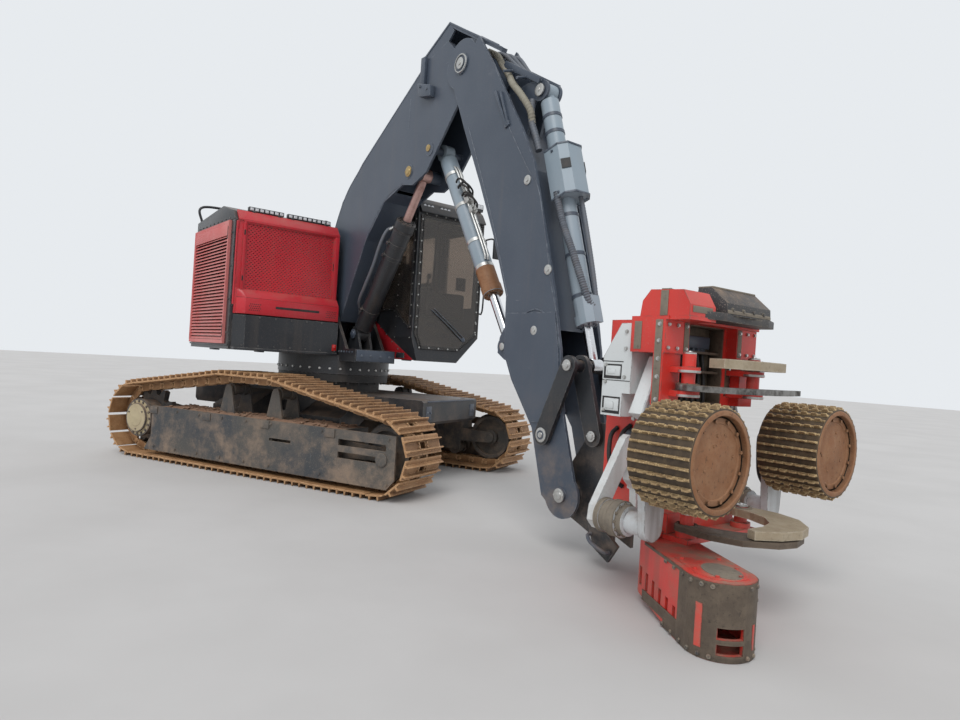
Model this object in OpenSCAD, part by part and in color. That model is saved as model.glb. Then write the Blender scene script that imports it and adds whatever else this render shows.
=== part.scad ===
// Forestry harvester: tracked swing machine with a boom, a stick and a harvesting head.
// Millimetres, +X along the boom, +Y to the machine's left, +Z up.
// Inside the modules the swing axis is at x = 0, y = 0; in_place() moves it to the part's frame.

/* [Undercarriage] */
// Turn of the undercarriage under the house, degrees
carrier_turn = 25; // [15:1:32]
// Distance between the middles of the two tracks
track_gauge = 2600; // [2450:10:2700]
// Width of a track shoe
shoe_w = 720; // [600:10:760]
// Distance from the swing axis back to the sprocket axle
sprocket_back = 1980; // [1900:10:2050]
// Distance from the swing axis forward to the idler axle
idler_front = 1930; // [1850:10:2000]
// Radius of the chain's pitch line on the sprocket
sprocket_r = 400; // [380:5:420]
// Radius of the chain's pitch line on the idler
idler_r = 355; // [330:5:370]
// Height of the chain's pitch line over the carrier rollers
carrier_top = 1130; // [1060:10:1160]
// Number of shoes on a track
shoe_count = 48; // [44:1:52]
// Height of a shoe's bars over its plate
grouser_h = 44; // [30:1:50]
// Half the length of the centre box of the car body
car_body_half_l = 1930; // [1800:10:2000]
// Half the width of the centre box of the car body
car_body_half_w = 690; // [600:10:720]
// Height of the underside of the car body
car_body_z0 = 730; // [700:10:760]
// Height of the top of the car body
car_body_z1 = 1030; // [1000:10:1060]

/* [House] */
// Height of the top of the deck
deck_z = 1600; // [1580:10:1650]
// Half the width of the house
house_half_w = 1670; // [1600:10:1700]
// Radius of the rear of the house about the swing axis
tail_r = 1950; // [1900:10:2000]
// Front face of the cooler housing
housing_x1 = 570; // [520:10:620]
// Height of the top of the cooler housing
housing_z1 = 3170; // [3100:10:3250]
// Inner side of the cooler housing, from the middle
housing_inner = 310; // [300:5:330]
// Thickness of the sheet walls
wall = 40; // [30:5:50]

/* [Cab] */
// Front face of the cab
cab_x1 = 1450; // [1400:10:1500]
// Rear face of the cab
cab_x0 = -250; // [-300:10:-200]
// Right side of the cab
cab_y0 = 335; // [335:5:350]
// Left side of the cab
cab_y1 = 1395; // [1350:5:1450]
// Height of the cab's roof
cab_z1 = 3600; // [3500:10:3700]
// Thickness of the cab's walls
cab_wall = 60; // [50:5:70]

/* [Boom and stick] */
// Boom foot pin, x
foot_x = 300; // [280:5:320]
// Boom foot pin, z
foot_z = 2080; // [2060:5:2100]
// Elbow pin, x
elbow_x = 3030; // [3000:5:3060]
// Elbow pin, z
elbow_z = 4600; // [4580:5:4620]
// Stick tip pin, x
tip_x = 4830; // [4810:5:4850]
// Stick tip pin, z
tip_z = 490; // [480:5:500]
// Half the width of the boom
boom_half_w = 225; // [220:1:228]
// Thickness of the boom and stick plates
plate_t = 25; // [20:1:28]
// Gap between the boom and the stick's plates
fork_gap = 10; // [6:1:12]

/* [Head] */
// Distance of each feed drum's axle from the head's middle
drum_y = 730; // [710:5:750]
// Height of the feed drums' axles
drum_z = 1050; // [1040:5:1060]
// Radius of a feed drum to its studs' tips
drum_r = 338; // [320:1:345]
// Front face of the feed drums
drum_x1 = 6560; // [6540:5:6600]
// Length of a feed drum
drum_l = 440; // [420:5:460]

/* [Hidden] */
// Colours
col_black = "#22252a";
col_steel = "#33383f";
col_red = "#b01218";
col_track = "#9a7650";
col_white = "#d9dad6";
col_chrome = "#c8ccd0";
col_glass = "#30343880";
// Fits
pin_gap = 0.3;
seat_gap = 0.3;
run_gap = 5;

// Height of the pitch line over the ground run: half a link, the plate and its bars
link_half = 50;
shoe_plate = 16;
pitch_z = link_half + shoe_plate + grouser_h;
sprocket_z = pitch_z + sprocket_r;
idler_z = pitch_z + idler_r;
carrier_r = 80;
carrier_x = [-450, 330];
carrier_z = carrier_top - link_half - carrier_r;
track_y = track_gauge / 2;
// The loop's circles, anticlockwise from the sprocket: x, z, radius of the pitch line
loop_circles = [
    [-sprocket_back, sprocket_z, sprocket_r],
    [idler_front, idler_z, idler_r],
    [carrier_x[1], carrier_z, carrier_r + link_half],
    [carrier_x[0], carrier_z, carrier_r + link_half]];
// Reach of the part behind and in front of the swing axis
track_tip_x = sprocket_back + sprocket_r + pitch_z;
reach_back = track_tip_x * cos(carrier_turn) + (track_y + shoe_w / 2) * sin(carrier_turn);
saw_nose = [6600, -740];
saw_nose_r = 195;
reach_front = saw_nose[0] + saw_nose_r;
swing_x = (reach_back - reach_front) / 2;

// General shapes
module in_place() translate([swing_x, 0, 0]) children();
module turned() rotate([0, 0, carrier_turn]) children();
module mirrored(left) mirror([0, left ? 1 : 0, 0]) children();
module block(a, b) translate(a) cube([b[0] - a[0], b[1] - a[1], b[2] - a[2]]);
// A side profile (x, z) from y0 to y1, a front profile (y, z) from x0 to x1
module side(y0, y1) translate([0, y1, 0]) rotate([90, 0, 0]) linear_extrude(y1 - y0) children();
module facing(x0, x1) translate([x0, 0, 0]) rotate([90, 0, 90]) linear_extrude(x1 - x0) children();
module pair_y() { children(); mirror([0, 1, 0]) children(); }
// A round bar along y, at x and z
module bar_y(p, r, y0, y1) translate([p[0], y1, p[1]]) rotate([90, 0, 0]) cylinder(h = y1 - y0, r = r, $fn = 48);
// Draws its children along the line from point a to point b, both (x, z)
module toward(a, b) translate([a[0], 0, a[1]]) rotate([0, 90 - atan2(b[1] - a[1], b[0] - a[0]), 0]) children();
function gap(a, b) = norm([b[0] - a[0], b[1] - a[1]]);
// A flat link with round ends between two points (x, z)
module link_shape(a, b, ra, rb) hull() {
    translate(a) circle(ra, $fn = 32);
    translate(b) circle(rb, $fn = 32);
}

// The endless loop round the circles: outward normal of the straight run from circle c to circle d
function unit(a) = [cos(a), sin(a)];
function middle(c) = [c[0], c[1]];
function run_normal(c, d) =
    atan2(d[1] - c[1], d[0] - c[0]) - acos((c[2] - d[2]) / norm(middle(d) - middle(c)));
function positive(a) = a < 0 ? positive(a + 360) : a >= 360 ? positive(a - 360) : a;
function run_normals(cs) = [for (i = [0 : len(cs) - 1]) run_normal(cs[i], cs[(i + 1) % len(cs)])];
// Its stretches: length, start x and z, radius (0 on a straight run), angle of the normal
function stretches(cs) = let (a = run_normals(cs), n = len(cs)) [
    for (i = [0 : n - 1]) let (
        c = cs[i], d = cs[(i + 1) % n],
        p = middle(c) + c[2] * unit(a[i]), q = middle(d) + d[2] * unit(a[i]),
        turn = positive(a[(i + 1) % n] - a[i]))
    each [[norm(q - p), p[0], p[1], 0, a[i]], [d[2] * turn * PI / 180, d[0], d[1], d[2], a[i]]]];
function total(list, i = 0) = i == len(list) ? 0 : list[i][0] + total(list, i + 1);
// Place and normal at a distance along the loop
function on_stretch(st, s) = st[3] == 0
    ? [st[1] + s * cos(st[4] + 90), st[2] + s * sin(st[4] + 90), st[4]]
    : let (a = st[4] + s / st[3] * 180 / PI) [st[1] + st[3] * cos(a), st[2] + st[3] * sin(a), a];
function along(list, s, i = 0) =
    s <= list[i][0] || i == len(list) - 1 ? on_stretch(list[i], s) : along(list, s - list[i][0], i + 1);
// The loop moved outward by n, with its arcs in steps
arc_step = 18;
function loop_at(cs, n) = let (a = run_normals(cs), k = len(cs)) [
    for (i = [0 : k - 1]) let (
        d = cs[(i + 1) % k], turn = positive(a[(i + 1) % k] - a[i]), m = max(1, round(turn / arc_step)))
    for (j = [0 : m]) middle(d) + (d[2] + n) * unit(a[i] + turn * j / m)];

// Undercarriage
// One shoe's outline: along the loop, outward; two bars on a plate
bar_base = 13;
bar_tip = 7;
function shoe_points(pitch) = [
    for (m = [-pitch / 4, pitch / 4])
    each [[m - bar_base, 0], [m - bar_tip, grouser_h], [m + bar_tip, grouser_h], [m + bar_base, 0]]];
module shoe_loop() {
    list = stretches(loop_circles);
    pitch = total(list) / shoe_count;
    difference() {
        polygon([for (k = [0 : shoe_count - 1]) let (f = along(list, (k + 0.5) * pitch))
            for (p = shoe_points(pitch))
            [f[0], f[1]] + p[0] * unit(f[2] + 90) + (link_half + shoe_plate + p[1]) * unit(f[2])]);
        polygon(loop_at(loop_circles, link_half));
    }
}
rail_y = [65, 105];
module link_rail() {
    difference() {
        polygon(loop_at(loop_circles, link_half - seat_gap));
        polygon(loop_at(loop_circles, -link_half));
    }
}
module track() color(col_track) {
    union() {
        side(-shoe_w / 2, shoe_w / 2) shoe_loop();
        pair_y() side(rail_y[0], rail_y[1]) link_rail();
    }
}
module track_right() turned() translate([0, -track_y, 0]) track();
module track_left() turned() translate([0, track_y, 0]) track();

// Track frame, drawn for the right track with its outer side toward -y
frame_x = [-1500, 1480];
frame_z = [240, 700];
frame_half = 160;
frame_plate = 25;
guard_y = -(shoe_w / 2 - 60);
guard_x = [-1650, 2180];
guard_z = [120, 700];
roller_r = 95;
roller_z = pitch_z + link_half + roller_r + 3;
roller_count = 8;
roller_pitch = (frame_x[1] - frame_x[0] - 240) / (roller_count - 1);
function roller_x(i) = frame_x[0] + 120 + i * roller_pitch;
axle_r = 40;
module roller(x, z, r) {
    difference() {
        union() {
            bar_y([x, z], r - 4, -115, -55);
            bar_y([x, z], r - 4, 55, 115);
            bar_y([x, z], r - 18, -55, 55);
        }
        bar_y([x, z], axle_r, -120, 120);
    }
    bar_y([x, z], axle_r - pin_gap, -frame_half, frame_half);
}
module track_frame() color(col_steel) {
    inner_y = frame_half - frame_plate;
    difference() {
        union() {
            pair_y() side(inner_y, frame_half)
                polygon([[frame_x[0], frame_z[0]], [frame_x[1], frame_z[0]], [frame_x[1], frame_z[1]],
                    [frame_x[0], frame_z[1]]]);
            block([frame_x[0], -frame_half, frame_z[1] - frame_plate], [frame_x[1], frame_half, frame_z[1]]);
            for (x = [frame_x[0], 0, frame_x[1] - frame_plate])
                block([x, -inner_y, roller_z + roller_r + 30], [x + frame_plate, inner_y, frame_z[1] - 10]);
            // Guard over the rollers, with the shelf and ribs that carry it
            side(guard_y, guard_y + frame_plate)
                polygon([[guard_x[0] - 120, guard_z[0]], [guard_x[1] - 95, guard_z[0]], [guard_x[1], guard_z[0] + 105], [guard_x[1], guard_z[1]],
                    [guard_x[0], guard_z[1]], [guard_x[0], guard_z[0] + 180]]);
            block([frame_x[0], guard_y, frame_z[1] - frame_plate], [frame_x[1], -inner_y, frame_z[1]]);
            for (i = [0 : 3])
                block([frame_x[0] + i * 950, guard_y + 5, guard_z[0] + 150],
                    [frame_x[0] + i * 950 + frame_plate, -inner_y, frame_z[1] - 10]);
            // Two arms to the idler
            pair_y() side(inner_y, frame_half) link_shape([frame_x[1] - 60, idler_z], [idler_front, idler_z], 95, 75);
            // Rear flange for the final drive
            side(inner_y, frame_half) link_shape([frame_x[0] + 60, 520], [-sprocket_back, sprocket_z], 150, 215);
            // Carrier roller brackets
            for (x = carrier_x) pair_y() side(frame_half - frame_plate, frame_half)
                polygon([[x - 130, frame_z[1] - 5], [x + 130, frame_z[1] - 5], [x + 55, carrier_z + 20],
                    [x + 30, carrier_z + 60], [x - 30, carrier_z + 60], [x - 55, carrier_z + 20]]);
        }
        for (i = [0 : roller_count - 1]) bar_y([roller_x(i), roller_z], axle_r, -frame_half - 1, frame_half + 1);
        for (x = carrier_x) bar_y([x, carrier_z], axle_r, -frame_half - 1, frame_half + 1);
        bar_y([idler_front, idler_z], axle_r + 10, -frame_half - 1, frame_half + 1);
        bar_y([-sprocket_back, sprocket_z], 170, 0, frame_half + 1);
        // Pockets in the guard
        side(guard_y - 1, guard_y + frame_plate + 1) {
            translate([570, 480]) square([330, 34], center = true);
            for (z = [420, 560]) translate([1740, z]) square([640, 70], center = true);
        }
    }
    for (i = [0 : roller_count - 1]) roller(roller_x(i), roller_z, roller_r);
    for (x = carrier_x) roller(x, carrier_z, carrier_r);
}
module track_frame_right() turned() translate([0, -track_y, 0]) track_frame();
module track_frame_left() turned() translate([0, track_y, 0]) mirror([0, 1, 0]) track_frame();

// Final drive and sprocket, with its bolted cover toward the outside
tooth_count = 12;
module final_drive() color(col_steel) union() {
    centre = [-sprocket_back, sprocket_z];
    body_r = sprocket_r - 90;
    bar_y(centre, body_r, -41, 41);
    for (i = [0 : tooth_count - 1]) rotate_at(centre, i * 360 / tooth_count) side(-38, 38) translate(centre)
        polygon([[body_r - 40, -70], [sprocket_r + 15, -26], [sprocket_r + 15, 26], [body_r - 40, 70]]);
    bar_y(centre, 169, 40, 190);
    bar_y(centre, 235, -200, -40);
    bar_y(centre, 250, -250, -200);
    bar_y(centre, 190, -290, -250);
    for (i = [0 : 15]) rotate_at(centre, i * 22.5) bar_y([centre[0] + 222, centre[1]], 13, -264, -245);
}
// Turns its children about a y axis through c
module rotate_at(c, a) translate([c[0], 0, c[1]]) rotate([0, a, 0]) translate([-c[0], 0, -c[1]]) children();
module final_drives() turned() pair_y() translate([0, -track_y, 0]) final_drive();

module idler() color(col_steel) {
    centre = [idler_front, idler_z];
    tread = idler_r - link_half - 5;
    difference() {
        union() {
            bar_y(centre, tread, -112, 112);
            bar_y(centre, tread + 35, -52, 52);
        }
        for (s = [-1, 1]) side(s > 0 ? 40 : -113, s > 0 ? 113 : -40) translate(centre) difference() {
            circle(tread - 45, $fn = 64);
            circle(105, $fn = 48);
        }
        bar_y(centre, axle_r + 10, -113, 113);
    }
    bar_y(centre, axle_r + 10 - pin_gap, -frame_half, frame_half);
}
module idlers() turned() pair_y() translate([0, -track_y, 0]) idler();

// Centre box with its four legs to the track frames
bearing_r = 640;
leg_x = [420, 1060];
module car_body() color(col_black) turned() difference() {
    union() {
        side(-car_body_half_w, car_body_half_w)
            polygon([[-car_body_half_l, car_body_z0 + 40], [-car_body_half_l + 40, car_body_z0],
                [car_body_half_l - 40, car_body_z0], [car_body_half_l, car_body_z0 + 40],
                [car_body_half_l, car_body_z1 - 25], [car_body_half_l - 25, car_body_z1],
                [-car_body_half_l + 25, car_body_z1], [-car_body_half_l, car_body_z1 - 25]]);
        for (s = [-1, 1]) pair_y() facing(s > 0 ? leg_x[0] : -leg_x[1], s > 0 ? leg_x[1] : -leg_x[0])
            polygon([[car_body_half_w - 40, car_body_z0], [track_y - frame_half, 400],
                [track_y - frame_half, frame_z[1] + 60], [car_body_half_w - 40, car_body_z1 - 20]]);
    }
    // Closed hollow between the ends
    block([-car_body_half_l + 220, -car_body_half_w + 45, car_body_z0 + 40],
        [car_body_half_l - 220, car_body_half_w - 45, car_body_z1 - 40]);
    // Tie-down eyes in both ends
    for (s = [-1, 1]) for (y = [-450, 450]) translate([s * (car_body_half_l - 90), y, car_body_z0 - 1])
        cylinder(h = car_body_z1 - car_body_z0 + 2, r = 35, $fn = 32);
}
bearing_z1 = 1255;
spigot_r = 500;
module swing_bearing() color(col_black) turned() difference() {
    union() {
        translate([0, 0, car_body_z1]) cylinder(h = 130, r = bearing_r, $fn = 96);
        translate([0, 0, car_body_z1 + 130]) cylinder(h = bearing_z1 - car_body_z1 - 130, r = bearing_r + 110, $fn = 96);
        for (i = [0 : 29]) rotate([0, 0, i * 12]) translate([bearing_r + 80, 0, car_body_z1 + 105])
            cylinder(h = 30, r = 16, $fn = 6);
    }
    translate([0, 0, car_body_z1 + 40]) cylinder(h = 400, r = spigot_r, $fn = 96);
}

// House
deck_t = 100;
ring_r = 760;
ring_top = deck_z - deck_t + 5;
tower_y = [245, 285];
foot = [foot_x, foot_z];
foot_pin_r = 60;
barrel_foot = [720, 1800];
eye_half = 60;
cyl_pin_r = 40;
lug_t = 28;
front_frame_x = 1150;
module swing_frame() color(col_black) {
    difference() {
        union() {
            translate([0, 0, bearing_z1 + run_gap]) cylinder(h = ring_top - bearing_z1 - run_gap, r = ring_r, $fn = 96);
            translate([0, 0, car_body_z1 + 60]) cylinder(h = 300, r = spigot_r - seat_gap, $fn = 96);
            intersection() {
                translate([0, 0, deck_z - deck_t]) cylinder(h = deck_t, r = tail_r, $fn = 360);
                block([-tail_r, -house_half_w, deck_z - deck_t], [housing_x1, house_half_w, deck_z]);
            }
            block([0, -tower_y[1], deck_z - deck_t - 60], [front_frame_x, tower_y[1], deck_z]);
            pair_y() side(tower_y[0], tower_y[1]) {
                polygon([[-420, deck_z - 20], [900, deck_z - 20], [foot_x + 150, foot_z + 60], [foot_x - 150, foot_z + 60]]);
                translate(foot) circle(165, $fn = 48);
            }
            // Lugs for the foot of the boom cylinder
            pair_y() side(eye_half + 4, eye_half + 4 + lug_t) {
                polygon([[barrel_foot[0] - 190, deck_z - 20], [barrel_foot[0] + 190, deck_z - 20],
                    [barrel_foot[0] + 70, barrel_foot[1] + 60], [barrel_foot[0] - 70, barrel_foot[1] + 60]]);
                translate(barrel_foot) circle(98, $fn = 48);
            }
            bar_y(foot, foot_pin_r, -tower_y[1] - 15, tower_y[1] + 15);
            bar_y(barrel_foot, cyl_pin_r, -eye_half - lug_t - 20, eye_half + lug_t + 20);
        }
        // Swivel opening up the middle, seen from below
        translate([0, 0, car_body_z1]) cylinder(h = deck_z - deck_t - car_body_z1, r = 380, $fn = 64);
    }
}

weight_x = -(tail_r - 390);
weight_z = 2500;
hood_z1 = 3000;
hood_front = -1020;
hood_left_front = -330;
hood_side = house_half_w - 30;
module counterweight() color(col_black) intersection() {
    translate([0, 0, deck_z]) cylinder(h = weight_z - deck_z, r = tail_r, $fn = 360);
    block([-tail_r, -house_half_w, deck_z], [weight_x, house_half_w, weight_z]);
}
module hood_plan(inset) polygon([
    [weight_x + seat_gap + inset, -hood_side + inset], [hood_front - inset, -hood_side + inset],
    [hood_front - inset, housing_inner + inset], [hood_left_front - inset, housing_inner + inset],
    [hood_left_front - inset, hood_side - inset], [weight_x + seat_gap + inset, hood_side - inset]]);
module engine_hood() color(col_black) difference() {
    intersection() {
        translate([0, 0, deck_z]) cylinder(h = hood_z1 - deck_z, r = tail_r - 10, $fn = 360);
        translate([0, 0, deck_z]) linear_extrude(hood_z1 - deck_z) hood_plan(0);
    }
    intersection() {
        translate([0, 0, deck_z - 1]) cylinder(h = hood_z1 - deck_z + 1 - wall, r = tail_r - 10 - wall, $fn = 360);
        translate([0, 0, deck_z - 1]) linear_extrude(hood_z1 - deck_z + 1 - wall) hood_plan(wall);
    }
    // Vent slots over the engine
    for (i = [0 : 11]) block([weight_x + 80, -900 + i * 150, hood_z1 - wall - 1],
        [hood_front - 120, -900 + i * 150 + 60, hood_z1 + 1]);
}
module engine_block() color("gray")
    block([weight_x + 60, -650, deck_z], [hood_front - 60, 650, 2500]);

// Cooler housing on the right, open where the louvre door and the grille door close it
housing_x0 = -1010;
lower_z = 1935;
door_x = [-995, 445];
door_z = [deck_z - 35, 3055];
grille_y = [-house_half_w + 30, -330];
grille_z = [lower_z, 3105];
panel_gap = 4;
panel_t = 30;
lower_x = housing_x1 + 145;
housing_side = [[housing_x0, deck_z], [housing_x1, deck_z], [housing_x1, housing_z1 - 110],
    [housing_x1 - 90, housing_z1], [70, housing_z1 + 110], [housing_x0, housing_z1 + 20]];
// Plan of the parts that stand forward, with their outer corner cut off
function lower_plan(x) = [[housing_x1 - 20, grille_y[0]], [housing_x1 + 20, grille_y[0]], [x, grille_y[0] + 110],
    [x, grille_y[1] + 10], [housing_x1 - 20, grille_y[1] + 10]];
module cooler_housing() color(col_black) difference() {
    union() {
        hinge_pins(louvre_hinge, louvre_hinge_z, [-8, -5], [4, panel_gap + panel_t / 2 + 1]);
        hinge_pins(grille_hinge, grille_hinge_z, [-panel_gap - panel_t / 2 - 1, -6], [6, 4]);
        side(-house_half_w, -housing_inner) polygon(housing_side);
        // Panel under the grille door, which stands forward
        intersection() {
            side(-house_half_w + 20, -housing_inner - 20)
                polygon([[housing_x1 - 10, deck_z + 2], [housing_x1 + 1, deck_z + 2], [housing_x1 + 1, deck_z - 70],
                    [lower_x, deck_z - 70], [lower_x, lower_z - 15], [housing_x1 - 10, lower_z - 15]]);
            translate([0, 0, deck_z - 100]) linear_extrude(600) polygon(lower_plan(lower_x));
        }
    }
    side(-house_half_w + wall, -housing_inner - wall) offset(delta = -wall) polygon(housing_side);
    block([door_x[0] + 90, -house_half_w - 1, deck_z + 60], [door_x[1] - 70, -house_half_w + wall + 1, door_z[1] - 70]);
    block([housing_x1 - wall - 1, grille_y[0] + 90, grille_z[0] + 90], [housing_x1 + 1, grille_y[1] - 90, grille_z[1] - 90]);
}
// Door with horizontal slats, hung at its rear edge
slat_count = 34;
module louvre_door() color(col_red) {
    y1 = -house_half_w - panel_gap;
    y0 = y1 - panel_t;
    border = 45;
    slat_pitch = (door_z[1] - door_z[0] - 2 * border) / slat_count;
    difference() {
        block([door_x[0], y0, door_z[0]], [door_x[1], y1, door_z[1]]);
        block([door_x[0] + border, y0 - 1, door_z[0] + border], [door_x[1] - border, y1 + 1, door_z[1] - border]);
    }
    for (i = [0 : slat_count - 1]) facing_slat(door_x[0] + border - 5, door_x[1] - border + 5, y0 + 4, y1 - 4,
        door_z[0] + border + i * slat_pitch, slat_pitch);
    hinge_bar(louvre_hinge, louvre_hinge_z);
}
// One sloping slat between two uprights
module facing_slat(x0, x1, y0, y1, z, pitch) facing(x0, x1)
    polygon([[y0, z + 4], [y0, z + 10], [y1, z + pitch - 4], [y1, z + pitch - 10]]);
module bar_z(p, r, z0, z1) translate([p[0], p[1], z0]) cylinder(h = z1 - z0, r = r, $fn = 32);
// A door's hinge: a bar bored at both ends, and the wall's two pins on brackets
hinge_out = 10;
hinge_r = 12;
hinge_pin_r = 6;
hinge_pin_l = 35;
bracket_t = 14;
module hinge_bar(p, z) difference() {
    bar_z(p, hinge_r, z[0], z[1]);
    bar_z(p, hinge_pin_r + pin_gap, z[0] - 1, z[0] + hinge_pin_l + 5);
    bar_z(p, hinge_pin_r + pin_gap, z[1] - hinge_pin_l - 5, z[1] + 1);
}
// low and high: the bracket's corners in plan, from the hinge's axis
module hinge_pins(p, z, low, high) for (e = [[z[0] - bracket_t - seat_gap, z[0] - seat_gap, 0, hinge_pin_l],
    [z[1] + seat_gap, z[1] + bracket_t + seat_gap, -hinge_pin_l, 0]]) {
    block([p[0] + low[0], p[1] + low[1], e[0]], [p[0] + high[0], p[1] + high[1], e[1]]);
    bar_z(p, hinge_pin_r, e[0] + e[2], e[1] + e[3]);
}
louvre_hinge = [door_x[0] - hinge_out, -house_half_w - panel_gap - panel_t / 2];
louvre_hinge_z = [door_z[0] + 100, door_z[1] - 100];
grille_hinge = [housing_x1 + panel_gap + panel_t / 2, grille_y[0] - hinge_out];
grille_hinge_z = [grille_z[0] + 100, grille_z[1] - 100];
// Front door with a field of diamond holes, hung at its outer edge
diamond_cols = 15;
diamond_rows = 12;
band_x = housing_x1 + 115;
band_z = 2130;
module grille_door() color(col_red) {
    x0 = housing_x1 + panel_gap;
    x1 = x0 + panel_t;
    field_y = [grille_y[0] + 110, grille_y[1] - 70];
    field_z = [band_z + 105, grille_z[1] - 80];
    dy = (field_y[1] - field_y[0]) / diamond_cols;
    dz = (field_z[1] - field_z[0]) / diamond_rows;
    facing(x0, x1 - 12) difference() {
        polygon([[grille_y[0], grille_z[0]], [grille_y[1], grille_z[0]], [grille_y[1], grille_z[1] - 45],
            [grille_y[0], grille_z[1] - 45]]);
        for (i = [0 : diamond_cols - 1]) for (j = [0 : diamond_rows - 1])
            translate([field_y[0] + (i + 0.5) * dy, field_z[0] + (j + 0.5) * dz])
                polygon([[-dy * 0.4, 0], [0, -dz * 0.4], [dy * 0.4, 0], [0, dz * 0.4]]);
    }
    // Raised rim round the field
    facing(x1 - 13, x1 + 6) difference() {
        polygon([[grille_y[0] + 60, field_z[0] - 60], [grille_y[1], field_z[0] - 60], [grille_y[1], grille_z[1] - 45],
            [grille_y[0] + 60, grille_z[1] - 45]]);
        translate([field_y[0] - 15, field_z[0] - 15])
            square([field_y[1] - field_y[0] + 30, field_z[1] - field_z[0] + 30]);
    }
    // Bevel at the top and the band at the bottom, which stands forward
    side(grille_y[0], grille_y[1]) polygon([[x0, housing_z1 - 120], [x1 + 2, housing_z1 - 120], [x1 + 2, housing_z1 - 100],
        [x1 - 92, housing_z1 + 15], [x0 - 88, housing_z1 + 4], [x0 + 2, housing_z1 - 106]]);
    intersection() {
        side(grille_y[0], grille_y[1]) difference() {
            polygon([[x0 + 8, grille_z[0]], [band_x, grille_z[0]], [band_x, band_z], [x1 + 5, band_z + 95], [x0 + 8, band_z + 95]]);
            polygon([[x0 + 18, grille_z[0] + 20], [band_x - 20, grille_z[0] + 20], [band_x - 20, band_z - 10],
                [x0 + 18, band_z + 60]]);
        }
        translate([0, 0, grille_z[0] - 1]) linear_extrude(500) polygon(lower_plan(band_x));
    }
    hinge_bar(grille_hinge, grille_hinge_z);
}
tank_z1 = 2100;
module side_tank() color(col_black) block([-300, cab_y1 + 20, deck_z], [560, house_half_w - 20, tank_z1]);

// Cab
cab_floor = 2060;
cab_front_z0 = 1500;
slope_x = [430, 1390];
cab_side = [[cab_x1, cab_front_z0], [cab_x1, cab_z1 - 190], [cab_x1 - 110, cab_z1], [cab_x0 + 80, cab_z1],
    [cab_x0, cab_z1 - 90], [cab_x0, cab_floor], [slope_x[0], cab_floor], [slope_x[1], cab_front_z0]];
cab_front = [[cab_y0, 1800], [cab_y0 + 95, cab_front_z0], [cab_y1 - 335, cab_front_z0], [cab_y1, 1850],
    [cab_y1, cab_z1], [cab_y0, cab_z1]];
front_window = [[cab_y0 + 75, 1860], [cab_y0 + 150, 1700], [cab_y1 - 330, 1700], [cab_y1 - 75, 1930],
    [cab_y1 - 75, 3330], [cab_y0 + 75, 3330]];
side_window = [[560, 2180], [1000, 2180], [1370, 1960], [1370, 3360], [560, 3360]];
quarter_window = [[-160, 2250], [480, 2250], [480, 3360], [-160, 3360]];
rear_window = [[cab_y0 + 120, 2350], [cab_y1 - 120, 2350], [cab_y1 - 120, 3360], [cab_y0 + 120, 3360]];
cab_door_x = [500, 1380];
cab_door_z = [2120, 3420];
cab_door_hinge = [cab_door_x[0] - hinge_out, cab_y1 + panel_gap + panel_t / 2];
cab_door_hinge_z = [cab_door_z[0] + 100, cab_door_z[1] - 100];
module cab_shell() color(col_black) difference() {
    union() {
        intersection() {
            side(cab_y0, cab_y1) polygon(cab_side);
            facing(cab_x0, cab_x1) polygon(cab_front);
        }
        hinge_pins(cab_door_hinge, cab_door_hinge_z, [-8, -panel_gap - panel_t / 2 - 1], [4, 7]);
    }
    intersection() {
        side(cab_y0 + cab_wall, cab_y1 - cab_wall) offset(delta = -cab_wall) polygon(cab_side);
        facing(cab_x0, cab_x1) offset(delta = -cab_wall) polygon(cab_front);
    }
    facing(cab_x1 - cab_wall - 1, cab_x1 + 1) polygon(front_window);
    facing(cab_x0 - 1, cab_x0 + cab_wall + 1) polygon(rear_window);
    side(cab_y0 - 1, cab_y0 + cab_wall + 1) { polygon(side_window); polygon(quarter_window); }
    side(cab_y1 - cab_wall - 1, cab_y1 + 1) {
        polygon([[cab_door_x[0] + 40, cab_door_z[0] + 40], [cab_door_x[1] - 40, cab_door_z[0] + 40],
            [cab_door_x[1] - 40, cab_door_z[1] - 60], [cab_door_x[0] + 40, cab_door_z[1] - 60]]);
        translate([-100, 0]) polygon([[0, 2350], [500, 2350], [500, 3360], [0, 3360]]);
    }
}
pane_t = 12;
module pane(points, lap) offset(delta = lap) polygon(points);
module cab_windows() color(col_glass) {
    facing(cab_x1, cab_x1 + pane_t) pane(front_window, 45);
    facing(cab_x0 - pane_t, cab_x0) pane(rear_window, 45);
    side(cab_y0 - pane_t, cab_y0) { pane(side_window, 30); pane(quarter_window, 30); }
}
module cab_door() color(col_black) {
    y0 = cab_y1 + panel_gap;
    side(y0, y0 + panel_t) difference() {
        translate([cab_door_x[0], cab_door_z[0]])
            square([cab_door_x[1] - cab_door_x[0], cab_door_z[1] - cab_door_z[0]]);
        translate([cab_door_x[0] + 90, cab_door_z[0] + 150])
            square([cab_door_x[1] - cab_door_x[0] - 180, cab_door_z[1] - cab_door_z[0] - 260]);
    }
    hinge_bar(cab_door_hinge, cab_door_hinge_z);
}
module cab_door_window() color(col_glass) {
    y0 = cab_y1 + panel_gap + panel_t;
    side(y0, y0 + pane_t) translate([cab_door_x[0] + 60, cab_door_z[0] + 120])
        square([cab_door_x[1] - cab_door_x[0] - 120, cab_door_z[1] - cab_door_z[0] - 200]);
}
riser_in = 10;
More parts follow.
